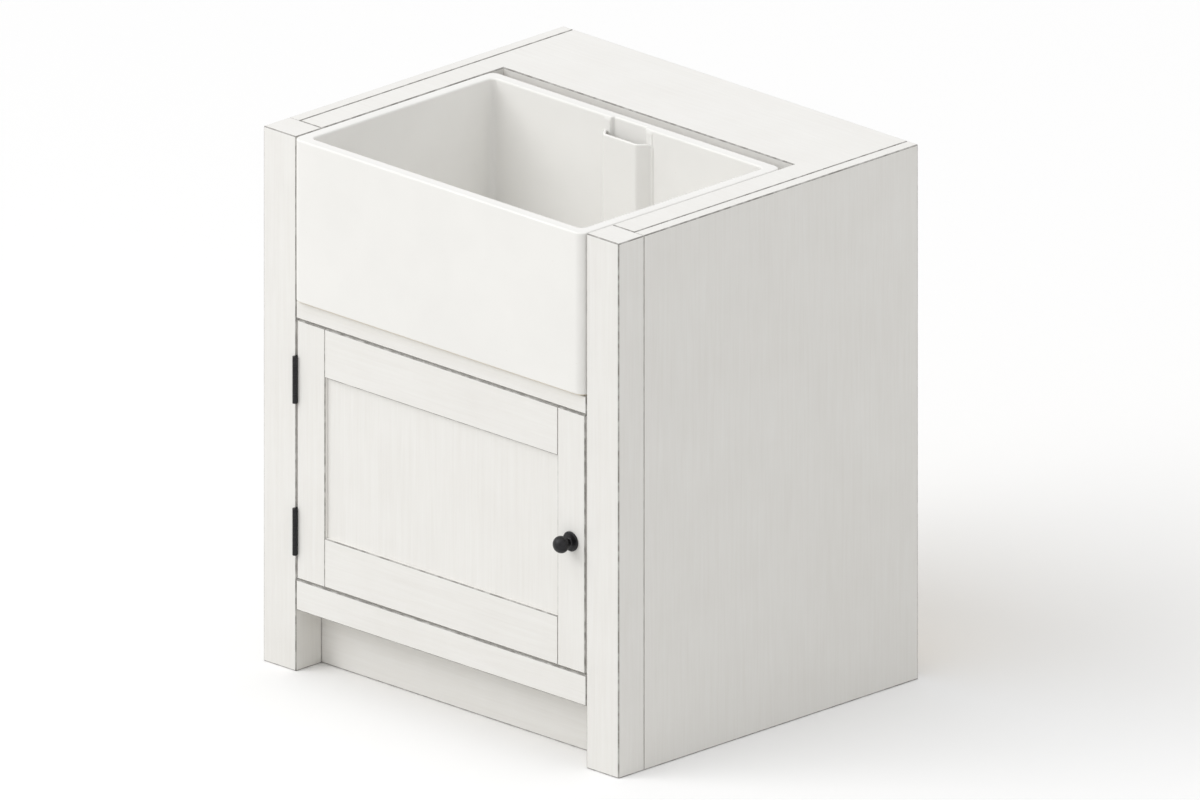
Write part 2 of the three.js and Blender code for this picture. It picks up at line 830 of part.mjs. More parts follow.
// Screws of one leaf, each a mesh laid on its side in the leaf's holes.
function hingeScrews(label, towards) {
  return hingeScrewHeights().map((z, i) => {
    const mesh = piece(`${label}_screw_${i + 1}`, screw(), blackIron);
    mesh.rotation.set(0, -towards * Math.PI / 2, 0);
    mesh.position.set(towards * hingeScrewFace, hingeScrewReach, z);
    return mesh;
  });
}

// Door in its own frame: the pin axis is its Z axis, its bottom edge is at z = 0 and its face at pinForward.
const doorRight = doorEdge + doorWidth;
const doorFace = pinForward;
const doorBack = doorFace + doorThickness;
const panelFront = doorFace + panelSetBack;
const panelInside = {
  x: [doorEdge + stileWidth, doorRight - stileWidth],
  z: [doorBottomRailHeight, doorHeight - doorTopRailHeight],
};
const groove = {
  x: widened(panelInside.x, grooveDepth),
  y: widened([panelFront, panelFront + panelThickness], panelSlack),
  z: widened(panelInside.z, grooveDepth),
};
const doorTenonY = [panelFront, panelFront + panelThickness];

// Heights of the tenons on the door's rails.
const doorTenonZ = {
  bottom: [
    doorBottomRailHeight - grooveDepth - doorTenonHeight,
    doorBottomRailHeight - grooveDepth,
  ],
  top: [
    doorHeight - doorTopRailHeight + grooveDepth,
    doorHeight - doorTopRailHeight + grooveDepth + doorTenonHeight,
  ],
};

// The square hole in a stile for one rail's tenon.
function doorMortise(side, z) {
  const x = side === 'hinge'
    ? [panelInside.x[0] - doorTenonLength - glueLine, panelInside.x[0] + 1]
    : [panelInside.x[1] - 1, panelInside.x[1] + doorTenonLength + glueLine];
  return block(x, widened(doorTenonY, glueLine), widened(z, glueLine));
}

function doorStile(side) {
  const x = side === 'hinge' ? [doorEdge, panelInside.x[0]] : [panelInside.x[1], doorRight];
  return block(x, [doorFace, doorBack], [0, doorHeight])
    .subtract(block(groove.x, groove.y, groove.z))
    .subtract(doorMortise(side, doorTenonZ.bottom))
    .subtract(doorMortise(side, doorTenonZ.top));
}

function hingeStile() {
  let body = doorStile('hinge');
  for (const bottom of Object.values(hingeBottoms)) {
    body = body.subtract(hingeRecess(1).translate([0, 0, bottom]));
    body = body.subtract(hingeScrewHoles(1).translate([0, 0, bottom]));
  }
  return body;
}

const knobX = doorRight - stileWidth / 2;

// Stile on the lock side, bored through for the knob's bolt.
function lockStile() {
  const bore = turning([
    [0, -doorThickness - 1],
    [knobBoltRadius + glueLine, -doorThickness - 1],
    [knobBoltRadius + glueLine, 1],
    [0, 1],
  ], screwSteps);
  bore.rotateX(Math.PI / 2);
  bore.translate(knobX, doorFace, knobRise);
  return doorStile('lock').subtract(solid(bore));
}

// Upright place of a door rail, and its tenons in the stiles.
function doorRail(z, tenonZ) {
  const shoulders = widened(panelInside.x, -glueLine);
  return block(shoulders, [doorFace, doorBack], z)
    .add(block(widened(panelInside.x, doorTenonLength), doorTenonY, tenonZ))
    .subtract(block(groove.x, groove.y, groove.z));
}

const strikeTop = catchTop - doorBottom - (catchHeight - strikeHeight) / 2 - doorTopGap;
const strikeX = catchMiddle - pinX;

// Screw that holds the strike plate, pointing forwards into the top rail.
function strikeScrewForm(clearance) {
  const form = screwForm(clearance);
  form.rotateX(-Math.PI / 2);
  return form;
}

function strikeScrewPlace() {
  return [strikeX, doorBack + strikeThickness - screwClearance / 2, strikeTop - strikeHeight / 2];
}

function doorTopRail() {
  const rail = doorRail([panelInside.z[1], doorHeight], doorTenonZ.top);
  return rail.subtract(solid(strikeScrewForm(screwClearance).translate(...strikeScrewPlace())));
}

function doorPanel() {
  const loose = panelExpansion - grooveDepth;
  return block(
    widened(panelInside.x, -loose),
    [panelFront, panelFront + panelThickness],
    widened(panelInside.z, -loose),
  );
}

function strikePlate() {
  const plate = block(
    widened([strikeX, strikeX], strikeWidth / 2),
    [doorBack + glueLine / 2, doorBack + strikeThickness],
    [strikeTop - strikeHeight, strikeTop],
  );
  return plate.subtract(solid(strikeScrewForm(screwClearance).translate(...strikeScrewPlace())));
}

// Round plate behind the knob, with its axis upwards from the door's face.
function rosette() {
  const hole = knobBoltRadius + glueLine;
  return solid(turning([
    [hole, glueLine],
    [rosetteRadius, glueLine],
    [rosetteRadius, rosetteEdge],
    [rosetteRadius - rosetteBevel, rosetteEdge + rosetteBevelRise],
    [rosetteFlat, rosetteThickness],
    [hole, rosetteThickness],
    [hole, glueLine],
  ], knobSteps));
}

// Knob with a waisted neck and a round head, bored up its foot for the bolt.
function knobHead() {
  const foot = rosetteThickness + glueLine;
  const centre = knobProjection - knobHeadHalf;
  const bore = knobBoltRadius + glueLine;
  const profile = [[0, knobBoltReach + glueLine], [bore, knobBoltReach + glueLine], [bore, foot]];
  profile.push([knobFootRadius, foot], [knobNeckRadius, foot + knobFootHeight]);
  const meet = Math.asin(knobThroatRadius / knobHeadRadius);
  for (let step = 0; step <= headSteps; step += 1) {
    const angle = meet + step / headSteps * (Math.PI - meet);
    profile.push([
      step === headSteps ? 0 : knobHeadRadius * Math.sin(angle),
      centre - knobHeadHalf * Math.cos(angle),
    ]);
  }
  return solid(turning(profile, knobSteps));
}

// Machine screw from the back of the stile into the knob, with a shallow domed head.
function knobBolt() {
  const seat = -doorThickness - glueLine;
  const tip = knobBoltReach;
  const body = solid(turning([
    [0, seat - boltHeadHeight],
    [boltCrownRadius, seat - boltHeadHeight],
    [boltHeadRadius, seat - boltHeadEdge],
    [boltHeadRadius, seat],
    [knobBoltRadius, seat],
    [knobBoltRadius, tip - boltPoint],
    [knobBoltRadius - boltPoint, tip],
    [0, tip],
  ], screwSteps));
  const slot = block(
    widened([0, 0], 2 * boltHeadRadius),
    widened([0, 0], screwSlotWidth / 2),
    [seat - boltHeadHeight - 1, seat - boltHeadHeight + screwSlotDepth],
  );
  return body.subtract(slot);
}

// Knob, rosette and bolt on one axis that points forwards out of the door's face.
function knobGroup() {
  const group = new THREE.Group();
  group.add(piece('knob', knobHead(), blackIron));
  group.add(piece('knob_rosette', rosette(), blackIron));
  group.add(piece('knob_bolt', knobBolt(), plainSteel));
  group.rotation.x = Math.PI / 2;
  group.position.set(knobX, doorFace, knobRise);
  return group;
}

// Door group about its pin axis. Turning it clockwise from above, about -Z, opens the door.
function doorGroup() {
  const group = new THREE.Group();
  group.add(piece('door_hinge_stile', hingeStile(), paint));
  group.add(piece('door_lock_stile', lockStile(), paint));
  group.add(piece('door_top_rail', doorTopRail(), paint));
  group.add(piece('door_bottom_rail', doorRail([0, panelInside.z[0]], doorTenonZ.bottom), paint));
  group.add(piece('door_panel', doorPanel(), paint));
  group.add(piece('strike_plate', strikePlate(), plainSteel));
  const strikeScrew = piece('strike_screw', screw(), plainSteel);
  strikeScrew.rotation.x = -Math.PI / 2;
  strikeScrew.position.set(...strikeScrewPlace());
  group.add(strikeScrew, knobGroup());
  for (const [label, bottom] of Object.entries(hingeBottoms)) {
    const leaf = new THREE.Group();
    leaf.add(piece(`${label}_hinge_door_leaf`, hingeLeaf(1), blackIron));
    leaf.add(...hingeScrews(`${label}_hinge_door`, 1));
    leaf.position.z = bottom;
    group.add(leaf);
  }
  group.position.set(pinX, -pinForward, doorBottom);
  return group;
}

// The hinges' fixed halves on the left post.
function fixedHinges() {
  return Object.entries(hingeBottoms).map(([label, bottom]) => {
    const group = new THREE.Group();
    group.add(piece(`${label}_hinge_frame_leaf`, hingeLeaf(-1), blackIron));
    group.add(piece(`${label}_hinge_pin`, hingePin(), blackIron));
    group.add(...hingeScrews(`${label}_hinge_frame`, -1));
    group.position.set(pinX, -pinForward, doorBottom + bottom);
    return group;
  });
}

// Carcass and the timbers that carry the sink.
function carcassGroup() {
  const group = new THREE.Group();
  for (const side of ['left', 'right']) {
    group.add(piece(`${side}_post`, post(side), paint));
    group.add(piece(`${side}_side_panel`, sidePanel(side), paint));
    group.add(piece(`${side}_plinth_block`, plinthBlock(side), bareTimber));
    group.add(piece(`${side}_top_cleat`, topCleat(side), bareTimber));
    group.add(piece(`${side}_bearer_cleat`, bearerCleat(side), bareTimber));
    group.add(piece(`${side}_sink_bearer`, sinkBearer(side), bareTimber));
  }
  const bottomRail = framedRail(bottomRailThickness, [toeHeight, bottomRailTop]);
  group.add(piece('sink_rail', sinkRail(), paint));
  group.add(piece('bottom_rail', bottomRail, paint));
  group.add(piece('plinth_board', plinthBoard(), paint));
  group.add(piece('top_board', topBoard(), paint));
  group.add(piece('base_panel', basePanel(), birchPly));
  group.add(piece('back_panel', backPanel(), birchPly));
  group.add(piece('rear_base_rail', rearBaseRail(), bareTimber));
  group.add(piece('upper_back_rail', upperBackRail(), bareTimber));
  group.add(piece('rear_sink_rail', rearSinkRail(), bareTimber));
  group.add(piece('door_stop', doorStop(), paint));
  return group;
}

// Magnetic catch under the sink rail, with its two screws.
function catchGroup() {
  const group = new THREE.Group();
  group.add(piece('catch_body', catchBody(), whitePlastic));
  group.add(piece('catch_magnet', catchMagnet(), plainSteel));
  catchScrewPlaces().forEach((x, i) => {
    const mesh = piece(`catch_screw_${i + 1}`, screw(), plainSteel);
    mesh.rotation.x = Math.PI;
    mesh.position.set(x, catchFront + catchWidth / 2, catchTop - catchFlange);
    group.add(mesh);
  });
  return group;
}

const cabinet = new THREE.Group();
cabinet.add(carcassGroup(), catchGroup(), ...fixedHinges(), doorGroup());
cabinet.add(piece('sink', sink(), fireclay));
cabinet.position.set(-middle, -(depth - knobProjection) / 2, 0);

export default cabinet;
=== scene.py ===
import math

import bmesh
import bpy
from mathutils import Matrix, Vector, noise


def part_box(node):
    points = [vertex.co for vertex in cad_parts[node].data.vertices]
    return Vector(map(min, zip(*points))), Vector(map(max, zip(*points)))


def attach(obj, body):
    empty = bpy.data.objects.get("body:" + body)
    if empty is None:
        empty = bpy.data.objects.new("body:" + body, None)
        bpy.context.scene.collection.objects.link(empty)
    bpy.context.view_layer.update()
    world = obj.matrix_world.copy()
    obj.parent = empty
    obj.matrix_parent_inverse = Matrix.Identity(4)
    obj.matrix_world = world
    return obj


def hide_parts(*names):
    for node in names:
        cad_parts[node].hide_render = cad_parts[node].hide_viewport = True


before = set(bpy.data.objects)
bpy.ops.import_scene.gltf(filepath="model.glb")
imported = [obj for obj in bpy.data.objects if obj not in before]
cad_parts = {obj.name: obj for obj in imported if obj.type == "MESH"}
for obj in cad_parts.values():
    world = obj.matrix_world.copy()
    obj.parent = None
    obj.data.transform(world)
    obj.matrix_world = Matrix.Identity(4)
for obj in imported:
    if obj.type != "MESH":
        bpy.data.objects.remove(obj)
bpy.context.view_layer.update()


# ---------------------------------------------------------------------------------------------------------
# The view. The drawing is a parallel view from the front right, 45 degrees round. It looks down so far that
# level edges slope by a third in the picture, and its whole width spans picture_width.
# ---------------------------------------------------------------------------------------------------------
mm = 0.001
toward_viewer = Vector((2, -2, 1)).normalized()
picture_middle = Vector((9.85 * mm, 26.85 * mm, 438.9 * mm))
picture_width = 1840.5 * mm
viewer_distance = 4000 * mm

view = bpy.data.cameras.new("drawing_view")
view.type = "ORTHO"
view.ortho_scale = picture_width
camera = bpy.data.objects.new("drawing_view", view)
camera.location = picture_middle + viewer_distance * toward_viewer
camera.rotation_euler = toward_viewer.to_track_quat("Z", "Y").to_euler()
bpy.context.scene.collection.objects.link(camera)
bpy.context.scene.camera = camera


# ---------------------------------------------------------------------------------------------------------
# The studio: a plain white floor under a white sky, broad sunlight from the front left and a little from
# overhead, and a softbox at the front that the glaze mirrors. The cabinet's right side is its darkest face.
# ---------------------------------------------------------------------------------------------------------
sky_light = 0.68
sky_white = "#ffffff"
floor_half = 8000 * mm
floor_seen = "#ffffff"
floor_lit = "#dddcd9"
softbox_place = Vector((-1500 * mm, -2400 * mm, 1900 * mm))
softbox_side = 1000 * mm
softbox_watts = 8


def linear(srgb_hex):
    """The linear colour of an sRGB hex value, with alpha 1."""
    shares = [int(srgb_hex[i:i + 2], 16) / 255 for i in (1, 3, 5)]
    return [s / 12.92 if s <= 0.04045 else ((s + 0.055) / 1.055) ** 2.4 for s in shares] + [1.0]


def add_node(tree, kind, values=None, links=None, stops=(), **options):
    """Adds a node with its options, its sockets' values, what feeds its sockets, and a ramp's colours."""
    added = tree.nodes.new(kind)
    for option, choice in options.items():
        setattr(added, option, choice)
    for socket, value in (values or {}).items():
        added.inputs[socket].default_value = value
    for socket, source in (links or {}).items():
        tree.links.new(source, added.inputs[socket])
    for i, (share, colour) in enumerate(stops):
        added.color_ramp.elements[i].position = share
        added.color_ramp.elements[i].color = linear(colour)
    return added


def seen_share(tree):
    """1 where the camera, a mirror or glass sees a surface, and 0 where it only lights other things."""
    rays = add_node(tree, "ShaderNodeLightPath")
    mirrored = add_node(tree, "ShaderNodeMath", operation="MAXIMUM",
                        links={0: rays.outputs["Is Glossy Ray"], 1: rays.outputs["Is Transmission Ray"]})
    seen = add_node(tree, "ShaderNodeMath", operation="MAXIMUM",
                    links={0: rays.outputs["Is Camera Ray"], 1: mirrored.outputs["Value"]})
    return seen.outputs["Value"]


sky = bpy.data.worlds.new("white_sky")
sky.use_nodes = True
bpy.context.scene.world = sky
background = sky.node_tree.nodes["Background"]
strength = add_node(sky.node_tree, "ShaderNodeMapRange", values={"To Min": sky_light, "To Max": 1.0},
                    links={"Value": seen_share(sky.node_tree)})
sky.node_tree.links.new(strength.outputs["Result"], background.inputs["Strength"])
background.inputs["Color"].default_value = linear(sky_white)

# Matt white floor paint: the eye gets a plain white ground that keeps the cabinet's soft shadow, and the
# cabinet gets the light of a pale grey one.
floor_paint = bpy.data.materials.new("matt_white_floor")
floor_paint.use_nodes = True
floor_shader = floor_paint.node_tree.nodes["Principled BSDF"]
tint = add_node(floor_paint.node_tree, "ShaderNodeMix", data_type="RGBA",
                values={"A": linear(floor_lit), "B": linear(floor_seen)},
                links={"Factor": seen_share(floor_paint.node_tree)})
floor_paint.node_tree.links.new(tint.outputs["Result"], floor_shader.inputs["Base Color"])
floor_shader.inputs["Roughness"].default_value = 1.0
floor_shader.inputs["Specular IOR Level"].default_value = 0.0

floor_mesh = bpy.data.meshes.new("studio_floor")
floor_corners = ((-1, -1), (1, -1), (1, 1), (-1, 1))
floor_mesh.from_pydata([(x * floor_half, y * floor_half, 0) for x, y in floor_corners], [], [(0, 1, 2, 3)])
floor_mesh.materials.append(floor_paint)
floor = bpy.data.objects.new("studio_floor", floor_mesh)
bpy.context.scene.collection.objects.link(floor)

# A sun of strength pi lights a white face square to it up to white. The suns are as wide as a bright sky.
for name, toward_lamp, light, spread_angle in (
    ("front_left_sun", (-0.45, -0.70, 0.75), 0.30, 50),
    ("overhead_sun", (0.15, 0.10, 1.00), 0.10, 60),
):
    sun = bpy.data.lights.new(name, "SUN")
    sun.energy = light * math.pi
    sun.angle = math.radians(spread_angle)
    lamp = bpy.data.objects.new(name, sun)
    lamp.rotation_euler = Vector(toward_lamp).to_track_quat("Z", "Y").to_euler()
    bpy.context.scene.collection.objects.link(lamp)

softbox = bpy.data.lights.new("front_softbox", "AREA")
softbox.shape = "SQUARE"
softbox.size = softbox_side
softbox.energy = softbox_watts
lamp = bpy.data.objects.new("front_softbox", softbox)
lamp.location = softbox_place
lamp.rotation_euler = (softbox_place - picture_middle).to_track_quat("Z", "Y").to_euler()
lamp.visible_camera = False
bpy.context.scene.collection.objects.link(lamp)


# ---------------------------------------------------------------------------------------------------------
# The posts are square planed timber, painted white by brush, with their arrises eased so that the paint
# holds. Each is mortised for the rails and grooved for its side panel, and the left one takes the hinges.
# ---------------------------------------------------------------------------------------------------------
ALONG_X, ALONG_Y, ALONG_Z = 0, 1, 2
weld = 0.001 * mm
same_plane = 0.01 * mm
flat_turn = math.radians(0.5)
arris = 1.8 * mm
arris_steps = 2
long_arris = 20 * mm
# Real brush strokes are about 1 mm wide. These are drawn five times as wide so that they show.
stroke_width = 5 * mm
stroke_length = 140 * mm
stroke_depth = 0.12 * mm
cloud_size = 90 * mm
rubbed_patch = 14 * mm
thin_paint = "#eceae6"
full_paint = "#f3f2ef"
undercoat = "#787570"


def new_mesh_piece(name, form):
    """The object that a finished form becomes, in the scene."""
    mesh = bpy.data.meshes.new(name)
    form.to_mesh(mesh)
    form.free()
    piece = bpy.data.objects.new(name, mesh)
    bpy.context.scene.collection.objects.link(piece)
    return piece


def eased(node, name, radius, takes, body):
    """A piece with a CAD node's form whose sharp arrises are rounded over where takes(edge) says so. The
    rounded faces carry the mark "arris" for the finish."""
    form = bmesh.new()
    form.from_mesh(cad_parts[node].data)
    mark = form.faces.layers.float.new("arris")
    bmesh.ops.remove_doubles(form, verts=form.verts, dist=weld)
    bmesh.ops.dissolve_limit(form, angle_limit=flat_turn, verts=form.verts, edges=form.edges)
    arrises = [edge for edge in form.edges if edge.is_convex and takes(edge)]
    if arrises:
        rounded = bmesh.ops.bevel(form, geom=arrises, offset=radius, segments=arris_steps, profile=0.5,
                                  affect="EDGES", clamp_overlap=True)
        for face in rounded["faces"]:
            face[mark] = 1.0
    piece = new_mesh_piece(name, form)
    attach(piece, body)
    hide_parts(node)
    return piece


def planed(node, coat, body="carcass", shoulder=0.0, least_planes=2):
    """A planed timber whose arrises are eased where they lie on at least so many of its outer planes. A
    tenoned rail has a shoulder at each end."""
    low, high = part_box(node)
    low.x += shoulder
    high.x -= shoulder

    def on_the_outside(edge):
        planes = sum(all(abs(vert.co[axis] - side[axis]) < same_plane for vert in edge.verts)
                     for axis in range(3) for side in (low, high))
        return planes >= least_planes and edge.calc_length() > long_arris

    timber = eased(node, node + "_timber", arris, on_the_outside, body)
    timber.data.materials.append(coat)


def new_finish(name):
    """A new material, its tree, its shader, and places on the piece in metres."""
    finish = bpy.data.materials.new(name)
    finish.use_nodes = True
    tree = finish.node_tree
    place = add_node(tree, "ShaderNodeTexCoord").outputs["Object"]
    return finish, tree, tree.nodes["Principled BSDF"], place


def brushed_paint(name, along):
    """White eggshell on timber: brush strokes along the member give it a faint ribbed sheen, and the paint
    is thin on the arrises, where the grey undercoat shows through in places."""
    paint, tree, shader, place = new_finish(name)
    stretch = [1 / stroke_width] * 3
    stretch[along] = 1 / stroke_length
    strokes_place = add_node(tree, "ShaderNodeMapping", values={"Scale": stretch}, links={"Vector": place})
    strokes = add_node(tree, "ShaderNodeTexNoise",
                       values={"Scale": 1.0, "Detail": 4.0, "Roughness": 0.62, "Distortion": 0.35},
                       links={"Vector": strokes_place.outputs["Vector"]})
    cloud = add_node(tree, "ShaderNodeTexNoise", values={"Scale": 1 / cloud_size, "Detail": 3.0},
                     links={"Vector": place})
    tone = add_node(tree, "ShaderNodeMix", data_type="FLOAT", values={"Factor": 0.35},
                    links={"A": strokes.outputs["Fac"], "B": cloud.outputs["Fac"]})
    coat = add_node(tree, "ShaderNodeValToRGB", stops=((0.3, thin_paint), (0.7, full_paint)),
                    links={"Fac": tone.outputs["Result"]})
    rubbed = add_node(tree, "ShaderNodeTexNoise", values={"Scale": 1 / rubbed_patch, "Detail": 5.0},
                      links={"Vector": place})
    rubbed_share = add_node(tree, "ShaderNodeMapRange",
                            values={"From Min": 0.35, "From Max": 0.6, "To Min": 0.5, "To Max": 0.9},
                            links={"Value": rubbed.outputs["Fac"]})
    arris_mark = add_node(tree, "ShaderNodeAttribute", attribute_name="arris")
    worn = add_node(tree, "ShaderNodeMath", operation="MULTIPLY",
                    links={0: rubbed_share.outputs["Result"], 1: arris_mark.outputs["Fac"]})
    colour = add_node(tree, "ShaderNodeMix", data_type="RGBA", values={"B": linear(undercoat)},
                      links={"Factor": worn.outputs["Value"], "A": coat.outputs["Color"]})
    sheen = add_node(tree, "ShaderNodeMapRange",
                     values={"From Min": 0.3, "From Max": 0.7, "To Min": 0.36, "To Max": 0.52},
                     links={"Value": strokes.outputs["Fac"]})
    ridges = add_node(tree, "ShaderNodeBump", values={"Strength": 1.0, "Distance": stroke_depth},
                      links={"Height": strokes.outputs["Fac"]})
    tree.links.new(colour.outputs["Result"], shader.inputs["Base Color"])
    tree.links.new(sheen.outputs["Result"], shader.inputs["Roughness"])
    tree.links.new(ridges.outputs["Normal"], shader.inputs["Normal"])
    shader.inputs["IOR"].default_value = 1.47
    return paint


upright_paint = brushed_paint("eggshell_paint_brushed_upright", ALONG_Z)
for side in ("left", "right"):
    planed(side + "_post", upright_paint)


# ---------------------------------------------------------------------------------------------------------
# The side panels are wide painted boards, tongued into the backs of the posts. They are painted with
# upright strokes too.
# ---------------------------------------------------------------------------------------------------------
for side in ("left", "right"):
    planed(side + "_side_panel", upright_paint)


# ---------------------------------------------------------------------------------------------------------
# The sink rail and the bottom rail are painted timber, tenoned into the posts. The plinth board stands on
# the floor behind them, and the door stop is a batten under the sink rail. All are brushed from end to end.
# ---------------------------------------------------------------------------------------------------------
frame_tenon = 24 * mm

level_paint = brushed_paint("eggshell_paint_brushed_level", ALONG_X)
planed("sink_rail", level_paint, shoulder=frame_tenon)
planed("bottom_rail", level_paint, shoulder=frame_tenon)
planed("plinth_board", level_paint)
planed("door_stop", level_paint)


# ---------------------------------------------------------------------------------------------------------
# The top board is one U-shaped painted board round the sink. It lies on cleats and on the back rail, level
# with the sink's rim. Its arrises are eased round the sink too.
# ---------------------------------------------------------------------------------------------------------
planed("top_board", level_paint, least_planes=1)


# ---------------------------------------------------------------------------------------------------------
# The cupboard floor and the back are birch plywood, with one clear coat. The floor sits in housings in the
# side panels, and the back in rebates, with a rounded opening for the pipes.
# ---------------------------------------------------------------------------------------------------------
floor_plies = 13
back_plies = 7
glue_share = 0.09
figure_length = 240 * mm
figure_width = 16 * mm
fleck_length = 11 * mm
fleck_width = 0.8 * mm
pore_depth = 0.08 * mm
birch_dark = "#dcc294"
birch_pale = "#eddcb9"
birch_fleck = "#b18a58"
crossed_ply = "#b99262"
ply_glue = "#6b4c2d"


def birch_plywood(name, node, across, plies):
    """Birch plywood: rotary-cut faces with a faint, wandering figure and short dark flecks, and edges
    striped by the plies with dark glue between them. The two face plies are sanded to half."""
    ply, tree, shader, place = new_finish(name)
    low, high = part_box(node)
    figure_way = (1 / figure_length, 1 / figure_width, 1 / figure_width)
    fleck_way = (1 / fleck_length, 1 / fleck_width, 1 / fleck_width)
    split = add_node(tree, "ShaderNodeSeparateXYZ", links={"Vector": place})
    layer = add_node(tree, "ShaderNodeMapRange",
                     values={"From Min": low[across], "From Max": high[across],
                             "To Min": 0.5, "To Max": plies - 0.5},
                     links={"Value": split.outputs["XYZ"[across]]})
    from_glue = add_node(tree, "ShaderNodeMath", operation="PINGPONG", values={1: 0.5},
                         links={0: layer.outputs["Result"]})
    pair = add_node(tree, "ShaderNodeMath", operation="MODULO", values={1: 2.0},
                    links={0: layer.outputs["Result"]})
    crossed = add_node(tree, "ShaderNodeMath", operation="GREATER_THAN", values={1: 1.0},
                       links={0: pair.outputs["Value"]})
    figure_place = add_node(tree, "ShaderNodeMapping", values={"Scale": figure_way}, links={"Vector": place})
    figure = add_node(tree, "ShaderNodeTexNoise",
                      values={"Scale": 1.0, "Detail": 7.0, "Roughness": 0.62, "Distortion": 0.8},
                      links={"Vector": figure_place.outputs["Vector"]})
    fleck_place = add_node(tree, "ShaderNodeMapping", values={"Scale": fleck_way}, links={"Vector": place})
    flecks = add_node(tree, "ShaderNodeTexNoise", values={"Scale": 1.0, "Detail": 3.0},
                      links={"Vector": fleck_place.outputs["Vector"]})
    face = add_node(tree, "ShaderNodeValToRGB", stops=((0.34, birch_dark), (0.6, birch_pale)),
                    links={"Fac": figure.outputs["Fac"]})
    fleck_share = add_node(tree, "ShaderNodeMapRange",
                           values={"From Min": 0.6, "From Max": 0.72, "To Min": 0.0, "To Max": 0.55},
                           links={"Value": flecks.outputs["Fac"]})
    flecked = add_node(tree, "ShaderNodeMix", data_type="RGBA", values={"B": linear(birch_fleck)},
                       links={"Factor": fleck_share.outputs["Result"], "A": face.outputs["Color"]})
    edge = add_node(tree, "ShaderNodeMix", data_type="RGBA", values={"B": linear(crossed_ply)},
                    links={"Factor": crossed.outputs["Value"], "A": flecked.outputs["Result"]})
    glue = add_node(tree, "ShaderNodeMath", operation="LESS_THAN", values={1: glue_share},
                    links={0: from_glue.outputs["Value"]})
    colour = add_node(tree, "ShaderNodeMix", data_type="RGBA", values={"B": linear(ply_glue)},
                      links={"Factor": glue.outputs["Value"], "A": edge.outputs["Result"]})
    sheen = add_node(tree, "ShaderNodeMapRange", values={"To Min": 0.42, "To Max": 0.6},
                     links={"Value": flecks.outputs["Fac"]})
    pores = add_node(tree, "ShaderNodeBump", values={"Strength": 0.6, "Distance": pore_depth},
                     links={"Height": flecks.outputs["Fac"]})
    tree.links.new(colour.outputs["Result"], shader.inputs["Base Color"])
    tree.links.new(sheen.outputs["Result"], shader.inputs["Roughness"])
    tree.links.new(pores.outputs["Normal"], shader.inputs["Normal"])
    return ply


def refinish(node, material):
    """Gives a CAD node that keeps its own form a new finish."""
    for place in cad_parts[node].material_slots:
        place.material = material


refinish("base_panel", birch_plywood("birch_plywood_18_mm", "base_panel", ALONG_Z, floor_plies))
refinish("back_panel", birch_plywood("birch_plywood_9_mm", "back_panel", ALONG_Y, back_plies))


# ---------------------------------------------------------------------------------------------------------
# The glue blocks, cleats, bearers and inner rails are planed pine without paint. They are glued and
# screwed inside, and carry the top board, the cupboard floor's back edge, the back and the sink.
# ---------------------------------------------------------------------------------------------------------
heart = Vector((70 * mm, 95 * mm, 60 * mm))
ring_spacing = 5 * mm
# Runs of good and poor years, this long across the rings, set the rings further apart or closer.
good_years_run = 34 * mm
good_years_swing = 1.6 * good_years_run
ring_wander = 9 * mm
wander_length = 420 * mm
wander_width = 60 * mm
grain_length = 260 * mm
grain_width = 3.5 * mm
# Real fibres are finer. These are drawn as wide as they need to be to show.
fibre_length = 40 * mm
fibre_width = 0.9 * mm
fibre_depth = 0.1 * mm
spring_growth = "#ecd9b4"
summer_growth = "#cfa56a"


